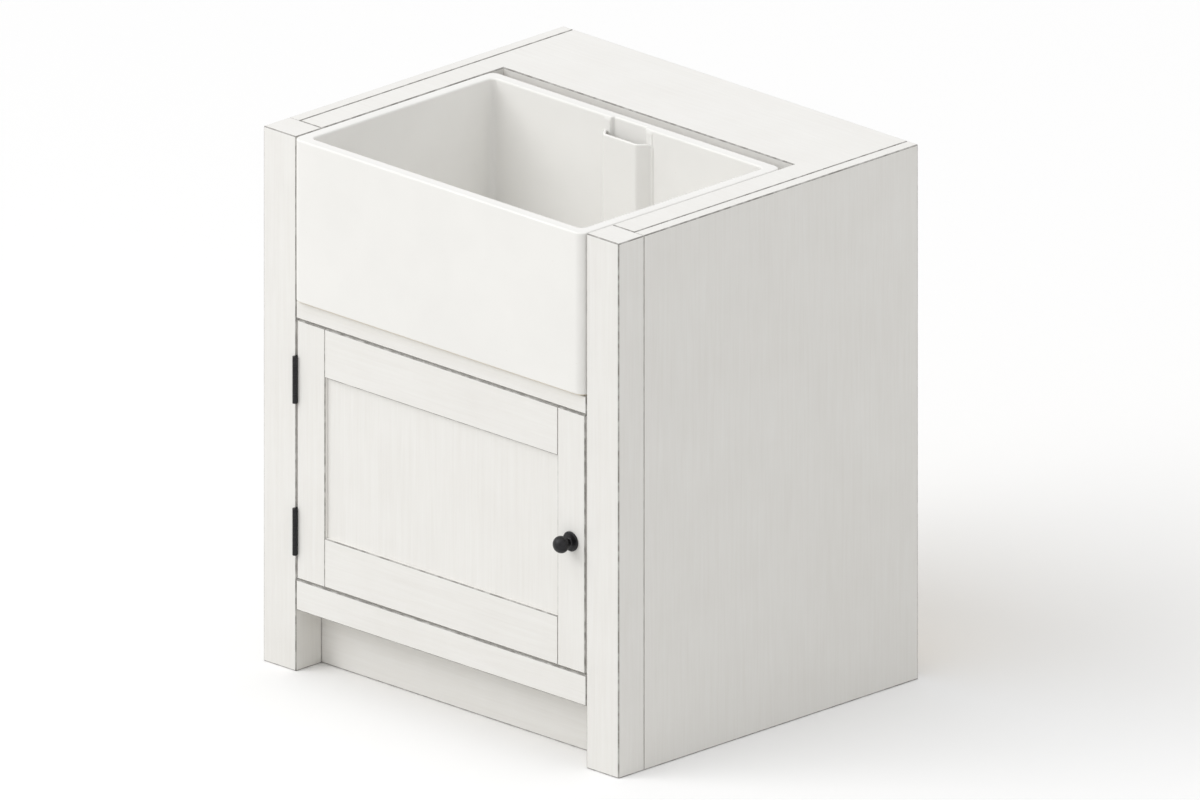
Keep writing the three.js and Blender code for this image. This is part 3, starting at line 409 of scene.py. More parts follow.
def planed_pine(name, along):
    """Planed pine: the faces cut the growth rings round the log's heart into long lines, pale in spring and
    darker towards the end of summer, among streaks and fine fibres along the member."""
    pine, tree, shader, place = new_finish(name)
    across_way = [1.0] * 3
    across_way[along] = 0.0
    wander_way = [1 / wander_width] * 3
    wander_way[along] = 1 / wander_length
    grain_way = [1 / grain_width] * 3
    grain_way[along] = 1 / grain_length
    fibre_way = [1 / fibre_width] * 3
    fibre_way[along] = 1 / fibre_length
    across_log = add_node(tree, "ShaderNodeMapping", values={"Location": heart, "Scale": across_way},
                          links={"Vector": place})
    from_heart = add_node(tree, "ShaderNodeVectorMath", operation="LENGTH",
                          links={0: across_log.outputs["Vector"]})
    wander_place = add_node(tree, "ShaderNodeMapping", values={"Scale": wander_way}, links={"Vector": place})
    wander = add_node(tree, "ShaderNodeTexNoise", values={"Scale": 1.0, "Detail": 3.0},
                      links={"Vector": wander_place.outputs["Vector"]})
    wandered = add_node(tree, "ShaderNodeMath", operation="MULTIPLY_ADD", values={1: 2 * ring_wander},
                        links={0: wander.outputs["Fac"], 2: from_heart.outputs["Value"]})
    good_years = add_node(tree, "ShaderNodeTexNoise", noise_dimensions="1D",
                          values={"Scale": 1 / good_years_run, "Detail": 2.0},
                          links={"W": wandered.outputs["Value"]})
    grown = add_node(tree, "ShaderNodeMath", operation="MULTIPLY_ADD", values={1: good_years_swing},
                     links={0: good_years.outputs["Fac"], 2: wandered.outputs["Value"]})
    years = add_node(tree, "ShaderNodeMath", operation="DIVIDE", values={1: ring_spacing},
                     links={0: grown.outputs["Value"]})
    season = add_node(tree, "ShaderNodeMath", operation="FRACT", links={0: years.outputs["Value"]})
    summer = add_node(tree, "ShaderNodeFloatCurve", links={"Value": season.outputs["Value"]})
    course = summer.mapping.curves[0]
    for year_share, darkness in ((0.45, 0.08), (0.8, 0.55), (0.93, 1.0)):
        course.points.new(year_share, darkness)
    course.points[-1].location.y = 0.0
    summer.mapping.update()
    grain_place = add_node(tree, "ShaderNodeMapping", values={"Scale": grain_way}, links={"Vector": place})
    grain = add_node(tree, "ShaderNodeTexNoise", values={"Scale": 1.0, "Detail": 4.0, "Roughness": 0.6},
                     links={"Vector": grain_place.outputs["Vector"]})
    fibre_place = add_node(tree, "ShaderNodeMapping", values={"Scale": fibre_way}, links={"Vector": place})
    fibres = add_node(tree, "ShaderNodeTexNoise", values={"Scale": 1.0, "Detail": 3.0},
                      links={"Vector": fibre_place.outputs["Vector"]})
    streaked = add_node(tree, "ShaderNodeMix", data_type="FLOAT", values={"Factor": 0.55},
                        links={"A": summer.outputs["Value"], "B": grain.outputs["Fac"]})
    ring_tone = add_node(tree, "ShaderNodeValToRGB", stops=((0.2, spring_growth), (0.8, summer_growth)),
                         links={"Fac": streaked.outputs["Result"]})
    fibre_tone = add_node(tree, "ShaderNodeMapRange", values={"To Min": 0.72, "To Max": 1.16},
                          links={"Value": fibres.outputs["Fac"]})
    colour = add_node(tree, "ShaderNodeMix", data_type="RGBA", blend_type="MULTIPLY", values={"Factor": 0.5},
                      links={"A": ring_tone.outputs["Color"], "B": fibre_tone.outputs["Result"]})
    sheen = add_node(tree, "ShaderNodeMapRange", values={"To Min": 0.52, "To Max": 0.7},
                     links={"Value": fibres.outputs["Fac"]})
    fuzz = add_node(tree, "ShaderNodeBump", values={"Strength": 0.7, "Distance": fibre_depth},
                    links={"Height": fibres.outputs["Fac"]})
    tree.links.new(colour.outputs["Result"], shader.inputs["Base Color"])
    tree.links.new(sheen.outputs["Result"], shader.inputs["Roughness"])
    tree.links.new(fuzz.outputs["Normal"], shader.inputs["Normal"])
    return pine


pine_level = planed_pine("planed_pine_side_to_side", ALONG_X)
pine_deep = planed_pine("planed_pine_front_to_back", ALONG_Y)
pine_upright = planed_pine("planed_pine_upright", ALONG_Z)
for node in ("rear_base_rail", "upper_back_rail", "rear_sink_rail"):
    planed(node, pine_level)
for side in ("left", "right"):
    planed(side + "_plinth_block", pine_upright)
    planed(side + "_top_cleat", pine_deep)
    planed(side + "_bearer_cleat", pine_deep)
    planed(side + "_sink_bearer", pine_deep)


# ---------------------------------------------------------------------------------------------------------
# The sink is slip-cast fireclay: one thick-walled bowl with soft corners, glazed white all over except
# underneath. It sits on the rail and the bearers by its weight. A weir overflow is cast on its back wall.
# ---------------------------------------------------------------------------------------------------------
sink_low, sink_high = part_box("sink")
wall = 20.4 * mm
outer_corner = 15 * mm
inner_corner = 10 * mm
rim_round = 3 * mm
foot_round = 4 * mm
bowl_fillet = 22 * mm
floor_at_waste = 26 * mm
floor_fall = 6 * mm
waste_radius = 45 * mm
waste_edge = 2 * mm
underside_lip = 3 * mm
underside_flare = 1.5 * mm
recess_radius = 57 * mm
recess_depth = 4 * mm
recess_edge = 2 * mm
weir_half = 52.5 * mm
weir_front_half = 37 * mm
weir_reach = 20 * mm
weir_drop = 22 * mm
weir_wall = 5 * mm
notch_half = 38 * mm
notch_depth = 5 * mm
notch_round = 4 * mm
casting_wave = 0.25 * mm
casting_wave_length = 130 * mm
casting_seed = 7

# How finely the clay's form is divided, and at what turn, in degrees, its shading breaks.
smooth_clay_turn = 38
corner_points = 10
side_points = 22
round_steps = 8
underside_rings = 8
outer_wall_rings = 16
rim_rings = 3
weir_zone = 12 * mm
weir_zone_rings = 12
inner_wall_rings = 10
floor_rings = 14
waste_rings = 4

bottom, rim = sink_low.z, sink_high.z
bowl_middle = (sink_low + sink_high) / 2
bowl_back = sink_high.y - wall
bowl_floor = bottom + floor_at_waste
waste_y = (sink_low.y + wall + bowl_back) / 2
quarter = [math.radians(90 * i / round_steps) for i in range(round_steps + 1)]


def evenly(start, end, count):
    """Places from start up to, but without, end."""
    return [start + (end - start) * i / count for i in range(count)]


def back_wall_places():
    """Shares of the back wall's run, close together at the weir's collar and at the notch's edges."""
    run = sink_high.x - sink_low.x - 2 * (wall + inner_corner)
    margin, wide_margin = 1 * mm, 3 * mm
    zone_ends = [notch_half - notch_round - margin, notch_half + wide_margin, weir_half - wide_margin,
                 weir_half + margin, run / 2]
    marks = [-place for place in reversed(zone_ends)] + zone_ends
    zone_points = [14, 8, 5, 16, 10, 16, 5, 8, 14]
    return [place / run for i, count in enumerate(zone_points)
            for place in evenly(marks[i], marks[i + 1], count)]


def plan_ring(inset, radius, z):
    """Points round the sink's plan, drawn in by an inset, with rounded corners of a radius. They run from
    the right end of the front, anticlockwise from above, and every ring has as many."""
    low_x, high_x = sink_low.x + inset, sink_high.x - inset
    low_y, high_y = sink_low.y + inset, sink_high.y - inset
    corners = [
        (high_x - radius, low_y + radius, -90),
        (high_x - radius, high_y - radius, 0),
        (low_x + radius, high_y - radius, 90),
        (low_x + radius, low_y + radius, 180),
    ]
    shares = [evenly(0, 1, side_points), [0.5 + place for place in back_wall_places()],
              evenly(0, 1, side_points), evenly(0, 1, 2 * side_points)]
    ring = []
    for i, (x, y, start) in enumerate(corners):
        for step in range(corner_points):
            angle = math.radians(start + 90 * step / corner_points)
            ring.append(Vector((x + radius * math.cos(angle), y + radius * math.sin(angle), z)))
        angle = math.radians(start + 90)
        begin = Vector((x + radius * math.cos(angle), y + radius * math.sin(angle), z))
        next_x, next_y, _ = corners[(i + 1) % 4]
        end = Vector((next_x + radius * math.cos(angle), next_y + radius * math.sin(angle), z))
        ring += [begin.lerp(end, share) for share in shares[i]]
    return ring


def round_ring(outline, radius, z):
    """A ring of a radius round the waste, each of its points on the bearing of an outline's point."""
    centre = Vector((bowl_middle.x, waste_y, 0))
    ring = []
    for point in outline:
        bearing = math.atan2(point.y - centre.y, point.x - centre.x)
        ring.append(Vector((centre.x + radius * math.cos(bearing),
                            centre.y + radius * math.sin(bearing), z)))
    return ring


def between(start, end, count):
    """Evenly spaced rings from one to another, the first left out."""
    return [[a.lerp(b, i / count) for a, b in zip(start, end)] for i in range(1, count + 1)]


# The rings run from the waste hole's underside out along the foot, up the outside, over the rim, down the
# inside and across the floor back to the waste hole.
hole_plan = plan_ring(wall, inner_corner, bottom)
rings = [round_ring(hole_plan, waste_radius, bottom + underside_lip)]
rings.append(round_ring(hole_plan, waste_radius + underside_flare, bottom))
rings += between(rings[-1], plan_ring(foot_round, outer_corner - foot_round, bottom), underside_rings)
for angle in quarter[1:]:
    inset = foot_round * (1 - math.sin(angle))
    rings.append(plan_ring(inset, outer_corner - inset, bottom + foot_round * (1 - math.cos(angle))))
rings += between(rings[-1], plan_ring(0, outer_corner, rim - rim_round), outer_wall_rings)
for angle in quarter[1:]:
    inset = rim_round * (1 - math.cos(angle))
    rings.append(plan_ring(inset, outer_corner - inset, rim - rim_round * (1 - math.sin(angle))))
rings += between(rings[-1], plan_ring(wall - rim_round, inner_corner + rim_round, rim), rim_rings)
for angle in quarter[1:]:
    inset = wall - rim_round * (1 - math.sin(angle))
    rings.append(plan_ring(inset, inner_corner + wall - inset, rim - rim_round * (1 - math.cos(angle))))
rings += between(rings[-1], plan_ring(wall, inner_corner, rim - weir_drop - weir_zone), weir_zone_rings)
rings += between(rings[-1], plan_ring(wall, inner_corner, bowl_floor + floor_fall + bowl_fillet),
                 inner_wall_rings)
for angle in quarter[1:]:
    inset = bowl_fillet * (1 - math.cos(angle))
    rings.append(plan_ring(wall + inset, inner_corner,
                           bowl_floor + floor_fall + bowl_fillet * (1 - math.sin(angle))))
outline = rings[-1]
rings += between(outline, round_ring(outline, recess_radius + recess_edge, bowl_floor), floor_rings)
for angle in quarter[2::2]:
    rings.append(round_ring(outline, recess_radius + recess_edge - recess_edge * math.sin(angle),
                            bowl_floor - recess_edge * (1 - math.cos(angle))))
for angle in quarter[6::-2]:
    rings.append(round_ring(outline, recess_radius - 2 * recess_edge * (1 - math.sin(angle)),
                            bowl_floor - recess_depth + recess_edge * (1 - math.cos(angle))))
rings.append(round_ring(outline, waste_radius + waste_edge, bowl_floor - recess_depth))
for angle in quarter[2::2]:
    rings.append(round_ring(outline, waste_radius + waste_edge * (1 - math.sin(angle)),
                            bowl_floor - recess_depth - waste_edge * (1 - math.cos(angle))))
rings += between(rings[-1], rings[0], waste_rings)[:-1]

# Above the weir the back wall has a shallow notch, with a flat raised collar at each side. A collar rises
# out of the wall from collar_foot to collar_root below the lip, and sinks back into it above collar_top.
collar = 1.2 * mm
collar_inner_side = 1.5 * mm
collar_outer_side = 1 * mm
collar_foot = 10 * mm
collar_root = 4 * mm
collar_top = 5 * mm
# Only points within full_reach of the wall's inner face move with it, and none beyond end_reach.
full_reach = 3 * mm
end_reach = 9 * mm
above_fillet = 2 * mm


def smooth_step(low, high, value):
    """0 below low, 1 above high, and a soft rise between them."""
    share = min(max((value - low) / (high - low), 0.0), 1.0)
    return share * share * (3 - 2 * share)


def cast(point):
    """Where a point of the bowl lies once the notch over the weir, its collars and the slight unevenness of
    the casting are counted in."""
    moved = point.copy()
    across = abs(point.x - bowl_middle.x)
    inner_back = 1 - smooth_step(full_reach, end_reach, abs(point.y - bowl_back))
    if point.z > bowl_floor + floor_fall + above_fillet and inner_back > 0:
        in_notch = 1 - smooth_step(notch_half - notch_round, notch_half, across)
        moved.y += notch_depth * in_notch * inner_back
        in_collar = smooth_step(notch_half, notch_half + collar_inner_side, across) * (
            1 - smooth_step(weir_half - collar_outer_side, weir_half, across))
        lip = rim - weir_drop
        above_lip = smooth_step(lip - collar_foot, lip - collar_root, point.z) * (
            1 - smooth_step(rim - collar_top, rim - rim_round, point.z))
        moved.y -= collar * in_collar * above_lip
    if bottom + foot_round < point.z < rim - rim_round:
        moved += casting_wave * noise.noise_vector(point / casting_wave_length)
    return moved


noise.seed_set(casting_seed)
form = bmesh.new()
grid = [[form.verts.new(cast(point)) for point in ring] for ring in rings]
for j, ring in enumerate(grid):
    above = grid[(j + 1) % len(grid)]
    for i in range(len(ring)):
        k = (i + 1) % len(ring)
        form.faces.new((ring[i], ring[k], above[k], above[i]))
bmesh.ops.recalc_face_normals(form, faces=form.faces)
bowl = new_mesh_piece("bowl", form)

# The weir's wall goes out from the back wall, across and back, with round corners and a round lip. Where it
# grows out of the back wall it is a little thicker, and its lip dips.
weir_bite = 4 * mm
weir_corner = 6 * mm
weir_shoulder = 6 * mm
shoulder_dip = weir_shoulder / 2
weir_root = 2 * mm
weir_inner_row = 40 * mm
weir_corner_steps = 10
longest_run = 0.8 * mm
weir_rows = 12
lip_steps = 8
mid_half = weir_half - weir_wall / 2
mid_front_half = weir_front_half - weir_wall / 2
mid_reach = weir_reach - weir_wall / 2


def rounded_path(points, radius, steps):
    """A path along straight runs whose corners are rounded."""
    path = [points[0]]
    for before, corner, after in zip(points, points[1:], points[2:]):
        into, out = (corner - before).normalized(), (after - corner).normalized()
        back_off = radius * math.tan(into.angle(out) / 2)
        start, end = corner - into * back_off, corner + out * back_off
        for step in range(steps + 1):
            share = step / steps
            path.append(start.lerp(corner, share).lerp(corner.lerp(end, share), share))
    path.append(points[-1])
    return path


def spread(path, longest):
    """The same path with points added so that none of its runs is longer than a length."""
    full = []
    for a, b in zip(path, path[1:]):
        runs = max(1, math.ceil((b - a).length / longest))
        full += [a.lerp(b, i / runs) for i in range(runs)]
    return full + [path[-1]]


weir_plan = [
    Vector((bowl_middle.x - mid_half, bowl_back + weir_bite)),
    Vector((bowl_middle.x - mid_half, bowl_back)),
    Vector((bowl_middle.x - mid_front_half, bowl_back - mid_reach)),
    Vector((bowl_middle.x + mid_front_half, bowl_back - mid_reach)),
    Vector((bowl_middle.x + mid_half, bowl_back)),
    Vector((bowl_middle.x + mid_half, bowl_back + weir_bite)),
]
path = spread(rounded_path(weir_plan, weir_corner, weir_corner_steps), longest_run)
weir_foot = bowl_floor - weir_bite
half = weir_wall / 2
form = bmesh.new()
sections = []
for i, point in enumerate(path):
    ahead = (path[min(i + 1, len(path) - 1)] - path[max(i - 1, 0)]).normalized()
    outward = Vector((ahead.y, -ahead.x))
    distance = bowl_back - point.y
    near_root = 1 - min(max(distance / weir_root, 0), 1)
    thicker = weir_root * (1 - math.sqrt(max(0.0, 1 - near_root ** 2)))
    near_wall = min(max(1 - distance / weir_shoulder, 0), 1)
    lip = rim - weir_drop - shoulder_dip * (1 - math.sqrt(1 - near_wall ** 2))
    section = [(-half, weir_foot), (half + thicker, weir_foot)]
    section += [(half + thicker, bowl_floor + (lip - half - bowl_floor) * share)
                for share in evenly(0, 1, weir_rows)]
    for step in range(lip_steps + 1):
        angle = math.pi * step / lip_steps
        grown = thicker if angle < math.pi / 2 else 0
        section.append((half * math.cos(angle) + grown * math.cos(angle),
                        lip - half + half * math.sin(angle)))
    section.append((-half, bowl_floor + weir_inner_row))
    sections.append([form.verts.new((point.x + outward.x * out, point.y + outward.y * out, z))
                     for out, z in section])
for a, b in zip(sections, sections[1:]):
    for i in range(len(a)):
        k = (i + 1) % len(a)
        form.faces.new((a[i], a[k], b[k], b[i]))
form.faces.new(sections[0])
form.faces.new(sections[-1])
bmesh.ops.recalc_face_normals(form, faces=form.faces)
weir = new_mesh_piece("weir", form)

# Water that goes over the lip falls down the shaft behind it and leaves by a duct under the floor. Both are
# left free by squared cores.
duct_low = bottom + 8 * mm
duct_height = 9 * mm
duct_half = 25 * mm
duct_stop = 1 * mm
shaft_half = 34 * mm
shaft_front = 12 * mm
shaft_back = 3 * mm
shaft_height = 60 * mm


def squared_core(name, low, high):
    """A squared core for a space in the clay."""
    form = bmesh.new()
    bmesh.ops.create_cube(form, size=1.0)
    for vert in form.verts:
        vert.co = Vector([low[i] + (vert.co[i] + 0.5) * (high[i] - low[i]) for i in range(3)])
    return new_mesh_piece(name, form)


def smooth_up_to(mesh, turn):
    """Shades a mesh smooth except at edges that turn by more than so many degrees."""
    mesh.polygons.foreach_set("use_smooth", [True] * len(mesh.polygons))
    mesh.set_sharp_from_angle(angle=math.radians(turn))


shaft = squared_core("shaft", (bowl_middle.x - shaft_half, bowl_back - shaft_front, duct_low),
                     (bowl_middle.x + shaft_half, bowl_back + shaft_back, bowl_floor + shaft_height))
duct = squared_core("duct", (bowl_middle.x - duct_half, waste_y, duct_low),
                    (bowl_middle.x + duct_half, bowl_back - duct_stop, duct_low + duct_height))
for tool, operation in ((weir, "UNION"), (shaft, "DIFFERENCE"), (duct, "DIFFERENCE")):
    cut = bowl.modifiers.new(tool.name, "BOOLEAN")
    cut.object = tool
    cut.operation = operation
    cut.solver = "EXACT"
joined = bowl.evaluated_get(bpy.context.evaluated_depsgraph_get())
sink_mesh = bpy.data.meshes.new_from_object(joined)
sink_mesh.name = "fireclay_sink"
for tool in (bowl, weir, shaft, duct):
    bpy.data.objects.remove(tool)
smooth_up_to(sink_mesh, smooth_clay_turn)
sink = bpy.data.objects.new("fireclay_sink", sink_mesh)
bpy.context.scene.collection.objects.link(sink)
even_shading = sink.modifiers.new("even_shading", "WEIGHTED_NORMAL")
even_shading.keep_sharp = True
even_shading.mode = "FACE_AREA_WITH_ANGLE"
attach(sink, "carcass")
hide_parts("sink")

# Glazed fireclay: a thick glassy white glaze that mirrors the light in a slow ripple, with a few faint
# specks, over a cream body that shows only where the sink stands.
glaze_cloud = 120 * mm
glaze_ripple = 22 * mm
ripple_depth = 0.06 * mm
speck_spacing = 26 * mm
speck_core = 0.468 * mm
speck_edge = 0.832 * mm
unglazed_to = bottom + 2 * mm
glaze_edge_wander = 9 * mm
glaze_edge_depth = 1 * mm
glaze_thick = "#f5f4f1"
glaze_thin = "#f2f1ee"
speck_grey = "#d9d3c4"
fired_clay = "#d8ccb4"

fireclay, tree, shader, place = new_finish("glazed_fireclay")
cloud = add_node(tree, "ShaderNodeTexNoise", values={"Scale": 1 / glaze_cloud, "Detail": 2.0},
                 links={"Vector": place})
white = add_node(tree, "ShaderNodeValToRGB", stops=((0.35, glaze_thin), (0.65, glaze_thick)),
                 links={"Fac": cloud.outputs["Fac"]})
specks = add_node(tree, "ShaderNodeTexVoronoi", values={"Scale": 1 / speck_spacing}, links={"Vector": place})
speck = add_node(tree, "ShaderNodeMapRange",
                 values={"From Min": speck_core / speck_spacing, "From Max": speck_edge / speck_spacing,
                         "To Min": 0.45, "To Max": 0.0},
                 links={"Value": specks.outputs["Distance"]})
glazed = add_node(tree, "ShaderNodeMix", data_type="RGBA", values={"B": linear(speck_grey)},
                  links={"Factor": speck.outputs["Result"], "A": white.outputs["Color"]})
split = add_node(tree, "ShaderNodeSeparateXYZ", links={"Vector": place})
ragged = add_node(tree, "ShaderNodeTexNoise", values={"Scale": 1 / glaze_edge_wander},
                  links={"Vector": place})
glaze_edge = add_node(tree, "ShaderNodeMath", operation="MULTIPLY_ADD", values={1: glaze_edge_depth},
                      links={0: ragged.outputs["Fac"], 2: split.outputs["Z"]})
bare = add_node(tree, "ShaderNodeMapRange",
                values={"From Min": unglazed_to, "From Max": unglazed_to + glaze_edge_depth,
                        "To Min": 1.0, "To Max": 0.0},
                links={"Value": glaze_edge.outputs["Value"]})
colour = add_node(tree, "ShaderNodeMix", data_type="RGBA", values={"B": linear(fired_clay)},
                  links={"Factor": bare.outputs["Result"], "A": glazed.outputs["Result"]})
gloss = add_node(tree, "ShaderNodeMapRange", values={"To Min": 0.09, "To Max": 0.85},
                 links={"Value": bare.outputs["Result"]})
ripple = add_node(tree, "ShaderNodeTexNoise", values={"Scale": 1 / glaze_ripple, "Detail": 1.5},
                  links={"Vector": place})
rippled = add_node(tree, "ShaderNodeBump", values={"Strength": 1.0, "Distance": ripple_depth},
                   links={"Height": ripple.outputs["Fac"]})
tree.links.new(colour.outputs["Result"], shader.inputs["Base Color"])
tree.links.new(gloss.outputs["Result"], shader.inputs["Roughness"])
tree.links.new(rippled.outputs["Normal"], shader.inputs["Normal"])
shader.inputs["IOR"].default_value = 1.52
sink_mesh.materials.clear()
sink_mesh.materials.append(fireclay)


# ---------------------------------------------------------------------------------------------------------
# The catch under the sink rail is a white moulded housing, held by two bright screws, with a plated magnet
# that can float a little. The door's strike plate meets it.
# ---------------------------------------------------------------------------------------------------------
housing_round = 0.5 * mm
plate_round = 0.3 * mm
fitting_turn = math.radians(50)
hole_rim_run = 2 * mm


def is_sharp(edge):
    """Whether a fitting's edge turns far enough to be eased and isn't part of a screw hole's rim."""
    return edge.calc_face_angle() > fitting_turn and edge.calc_length() > hole_rim_run


# Moulded ABS from a spark-eroded mould: it gives the eye an even, dull white with a fine grain. The real
# grain is much finer than a millimetre, and is drawn coarser so that it shows. The low places of the grain
# are painted a darker white, which is painted shade: the plastic itself is one colour.
spark_size = 0.8 * mm
spark_depth = 0.03 * mm
abs_white = "#efeeea"
abs_hollow_shade = "#dddcd6"

moulded_abs, tree, shader, place = new_finish("moulded_white_abs")
spark = add_node(tree, "ShaderNodeTexNoise", values={"Scale": 1 / spark_size, "Detail": 2.0},
                 links={"Vector": place})
# Painted shade: the ramp colours the grain's hollows darker than the plastic's own white.
spark_tone_and_shade = add_node(tree, "ShaderNodeValToRGB", stops=((0.0, abs_hollow_shade), (1.0, abs_white)),
                      links={"Fac": spark.outputs["Fac"]})
spark_bump = add_node(tree, "ShaderNodeBump", values={"Strength": 0.5, "Distance": spark_depth},
                      links={"Height": spark.outputs["Fac"]})
tree.links.new(spark_tone_and_shade.outputs["Color"], shader.inputs["Base Color"])
tree.links.new(spark_bump.outputs["Normal"], shader.inputs["Normal"])
shader.inputs["Roughness"].default_value = 0.42
housing = eased("catch_body", "moulded_catch_body", housing_round, is_sharp, "carcass")
housing.data.materials.append(moulded_abs)

# Zinc-plated steel: it gives the eye a cool grey shine, a little cloudy where the plating is duller.
plating_cloud = 3 * mm
zinc_dark = "#a9abad"
zinc_bright = "#cfd1d4"

zinc, tree, shader, place = new_finish("zinc_plated_steel")
plating = add_node(tree, "ShaderNodeTexNoise", values={"Scale": 1 / plating_cloud, "Detail": 3.0},
                   links={"Vector": place})
plating_tone = add_node(tree, "ShaderNodeValToRGB", stops=((0.0, zinc_dark), (1.0, zinc_bright)),
                        links={"Fac": plating.outputs["Fac"]})
plating_gloss = add_node(tree, "ShaderNodeMapRange", values={"To Min": 0.22, "To Max": 0.42},
                         links={"Value": plating.outputs["Fac"]})
tree.links.new(plating_tone.outputs["Color"], shader.inputs["Base Color"])
tree.links.new(plating_gloss.outputs["Result"], shader.inputs["Roughness"])
shader.inputs["Metallic"].default_value = 1.0
magnet = eased("catch_magnet", "plated_magnet", plate_round, is_sharp, "carcass")
magnet.data.materials.append(zinc)
for node in ("catch_screw_1", "catch_screw_2"):
    refinish(node, zinc)


# ---------------------------------------------------------------------------------------------------------
# The two butt hinges are black iron, with five knuckles each round a loose pin and three countersunk
# screws in each leaf. The leaves are let into the post and the door's stile, so the knuckles show.
# ---------------------------------------------------------------------------------------------------------
dapple_size = 6 * mm
dapple_depth = 0.12 * mm
grit_size = 1.2 * mm
grit_depth = 0.03 * mm
iron_black = "#161618"
iron_grey = "#2f2e30"
smooth_knuckle_turn = 30

# Hot-forged iron, blackened and oiled: it gives the eye a near black with a soft, dappled sheen and a dry
# grit. The real scale on it is finer, and its grit is drawn coarser so that it shows.
iron, tree, shader, place = new_finish("blackened_iron")
dapple = add_node(tree, "ShaderNodeTexNoise",
                  values={"Scale": 1 / dapple_size, "Detail": 6.0, "Roughness": 0.65},
                  links={"Vector": place})
black = add_node(tree, "ShaderNodeValToRGB", stops=((0.3, iron_black), (0.75, iron_grey)),
                 links={"Fac": dapple.outputs["Fac"]})
dull = add_node(tree, "ShaderNodeMapRange", values={"To Min": 0.34, "To Max": 0.58},
                links={"Value": dapple.outputs["Fac"]})
grit = add_node(tree, "ShaderNodeTexNoise", values={"Scale": 1 / grit_size, "Detail": 3.0},
                links={"Vector": place})
hammered = add_node(tree, "ShaderNodeBump", values={"Strength": 0.8, "Distance": dapple_depth},
                    links={"Height": dapple.outputs["Fac"]})
gritty = add_node(tree, "ShaderNodeBump", values={"Strength": 0.6, "Distance": grit_depth},
                  links={"Height": grit.outputs["Fac"], "Normal": hammered.outputs["Normal"]})
tree.links.new(black.outputs["Color"], shader.inputs["Base Color"])
tree.links.new(dull.outputs["Result"], shader.inputs["Roughness"])
tree.links.new(gritty.outputs["Normal"], shader.inputs["Normal"])
shader.inputs["Metallic"].default_value = 0.75
shader.inputs["Coat Weight"].default_value = 0.2
shader.inputs["Coat Roughness"].default_value = 0.3


def rolled(node, body):
    """A hinge leaf or pin whose knuckles are rolled round: its flats stay flat and its curves are smooth."""
    form = bmesh.new()
    form.from_mesh(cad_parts[node].data)
    bmesh.ops.remove_doubles(form, verts=form.verts, dist=weld)
    piece = new_mesh_piece(node + "_iron", form)
    smooth_up_to(piece.data, smooth_knuckle_turn)
    piece.data.materials.clear()
    piece.data.materials.append(iron)
    flats = piece.modifiers.new("flats_stay_flat", "WEIGHTED_NORMAL")
    flats.keep_sharp = True
    flats.mode = "FACE_AREA_WITH_ANGLE"
    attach(piece, body)
    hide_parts(node)


for place_name in ("upper", "lower"):
    rolled(place_name + "_hinge_pin", "carcass")
    for leaf, body in (("frame", "carcass"), ("door", "door")):
        rolled(f"{place_name}_hinge_{leaf}_leaf", body)
        for number in (1, 2, 3):
            refinish(f"{place_name}_hinge_{leaf}_screw_{number}", iron)


# ---------------------------------------------------------------------------------------------------------
# The door is a mortised and tenoned frame of painted timber round a flat panel that floats in its grooves.
# A zinc-plated strike plate for the catch is screwed to its back.
# ---------------------------------------------------------------------------------------------------------
door_tenon = 38 * mm

planed("door_hinge_stile", upright_paint, body="door")
planed("door_lock_stile", upright_paint, body="door")
planed("door_top_rail", level_paint, body="door", shoulder=door_tenon)
planed("door_bottom_rail", level_paint, body="door", shoulder=door_tenon)
planed("door_panel", upright_paint, body="door")
strike = eased("strike_plate", "pressed_strike_plate", plate_round, is_sharp, "door")
strike.data.materials.append(zinc)
refinish("strike_screw", zinc)


# ---------------------------------------------------------------------------------------------------------
# The knob is turned black iron, bolted through the stile by a zinc-plated bolt, with a round turned plate
# behind it. Its head is a flattened ball on a waisted neck.
# ---------------------------------------------------------------------------------------------------------
turned_sides = 64
smooth_knob_turn = 40
head_half = 12 * mm
neck_radius = 5.5 * mm
throat_radius = 6.3 * mm
foot_radius = 7 * mm
foot_height = 2.5 * mm
foot_steps = 8
head_steps = 32
bore_radius = 2.3 * mm
bore_reach = 15.3 * mm


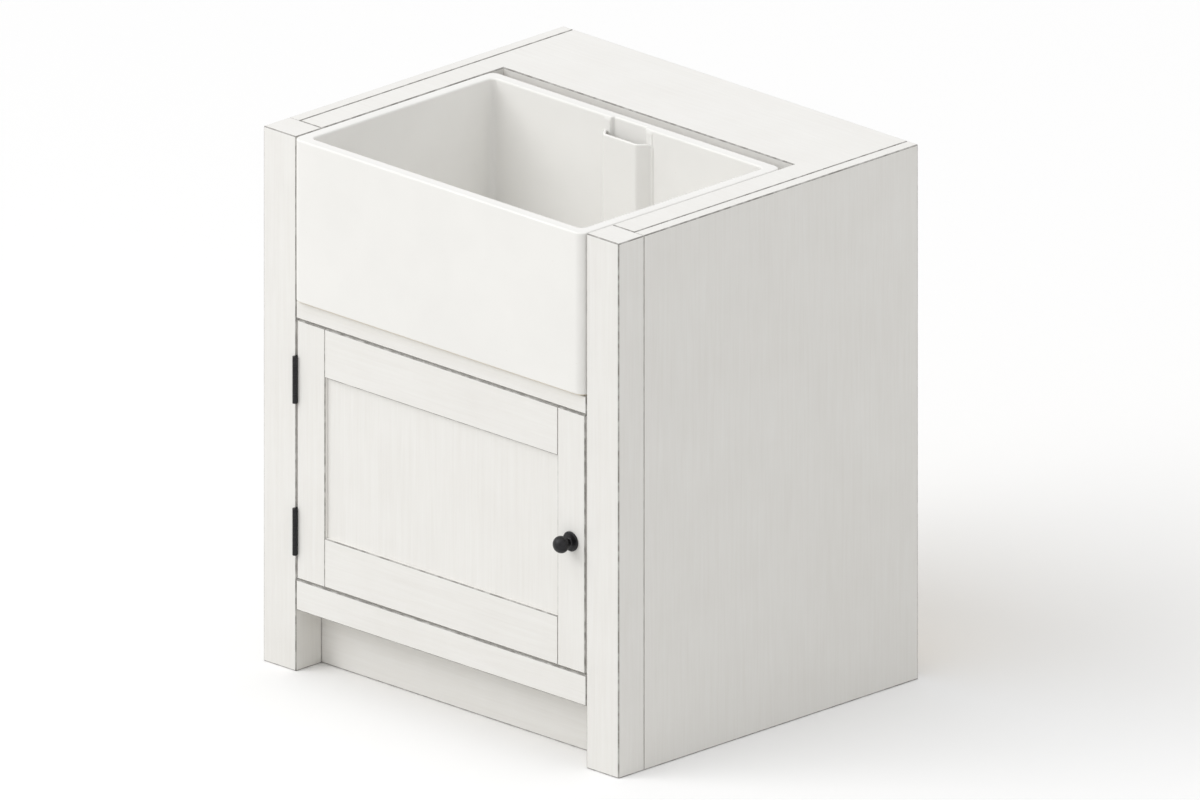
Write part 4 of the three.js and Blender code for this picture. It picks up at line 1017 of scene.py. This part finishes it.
def turned(name, profile, centre):
    """A form turned about an axis that points out of the door, from pairs of radius and distance from the
    door's face. The profile is closed."""
    form = bmesh.new()
    hoops = []
    for radius, reach in profile:
        sides = 1 if radius == 0 else turned_sides
        angles = [2 * math.pi * i / turned_sides for i in range(sides)]
        hoops.append([form.verts.new((centre.x + radius * math.cos(angle), centre.y - reach,
                                      centre.z + radius * math.sin(angle))) for angle in angles])
    for near, far in zip(hoops, hoops[1:] + hoops[:1]):
        for i in range(turned_sides):
            k = (i + 1) % turned_sides
            ends = [near[i % len(near)], near[k % len(near)], far[k % len(far)], far[i % len(far)]]
            corners = list(dict.fromkeys(ends))
            if len(corners) > 2:
                form.faces.new(corners)
    bmesh.ops.recalc_face_normals(form, faces=form.faces)
    piece = new_mesh_piece(name, form)
    smooth_up_to(piece.data, smooth_knob_turn)
    piece.data.materials.append(iron)
    return piece


knob_low, knob_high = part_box("knob")
door_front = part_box("door_lock_stile")[0].y
axis = Vector(((knob_low.x + knob_high.x) / 2, door_front, (knob_low.z + knob_high.z) / 2))
knob_reach = axis.y - knob_low.y
knob_foot = axis.y - knob_high.y
head_radius = (knob_high.x - knob_low.x) / 2

profile = [(0, bore_reach), (bore_radius, bore_reach), (bore_radius, knob_foot), (foot_radius, knob_foot)]
for step in range(1, foot_steps + 1):
    share = step / foot_steps
    profile.append((neck_radius + (foot_radius - neck_radius) * (1 - share) ** 2,
                    knob_foot + foot_height * share))
throat_angle = math.asin(throat_radius / head_radius)
for step in range(head_steps + 1):
    angle = throat_angle + (math.pi - throat_angle) * step / head_steps
    radius = 0 if step == head_steps else head_radius * math.sin(angle)
    profile.append((radius, knob_reach - head_half - head_half * math.cos(angle)))
knob = turned("turned_knob", profile, axis)
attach(knob, "door")
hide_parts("knob")
refinish("knob_bolt", zinc)

# The plate has a flattened round at its rim, a face that rises a little from there, and a small raised seat
# for the knob's foot.
back_relief = 0.3 * mm
round_start = 2.2 * mm
round_rise = 1.6 * mm
round_width = 4 * mm
plate_steps = 12
seat_height = 0.4 * mm
seat_foot_radius = 9 * mm
seat_radius = 8 * mm

plate_low, plate_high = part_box("knob_rosette")
plate_radius = (plate_high.x - plate_low.x) / 2
plate_back = axis.y - plate_high.y
plate_front = axis.y - plate_low.y
profile = [(bore_radius, plate_back), (plate_radius - back_relief, plate_back)]
for step in range(plate_steps + 1):
    angle = math.pi / 2 * step / plate_steps
    profile.append((plate_radius - round_width * (1 - math.cos(angle)),
                    plate_front - round_start + round_rise * math.sin(angle)))
profile += [(seat_foot_radius, plate_front - seat_height), (seat_radius, plate_front),
            (bore_radius, plate_front)]
rosette = turned("turned_rosette", profile, axis)
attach(rosette, "door")
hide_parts("knob_rosette")


bpy.context.scene.view_settings.view_transform = "Standard"
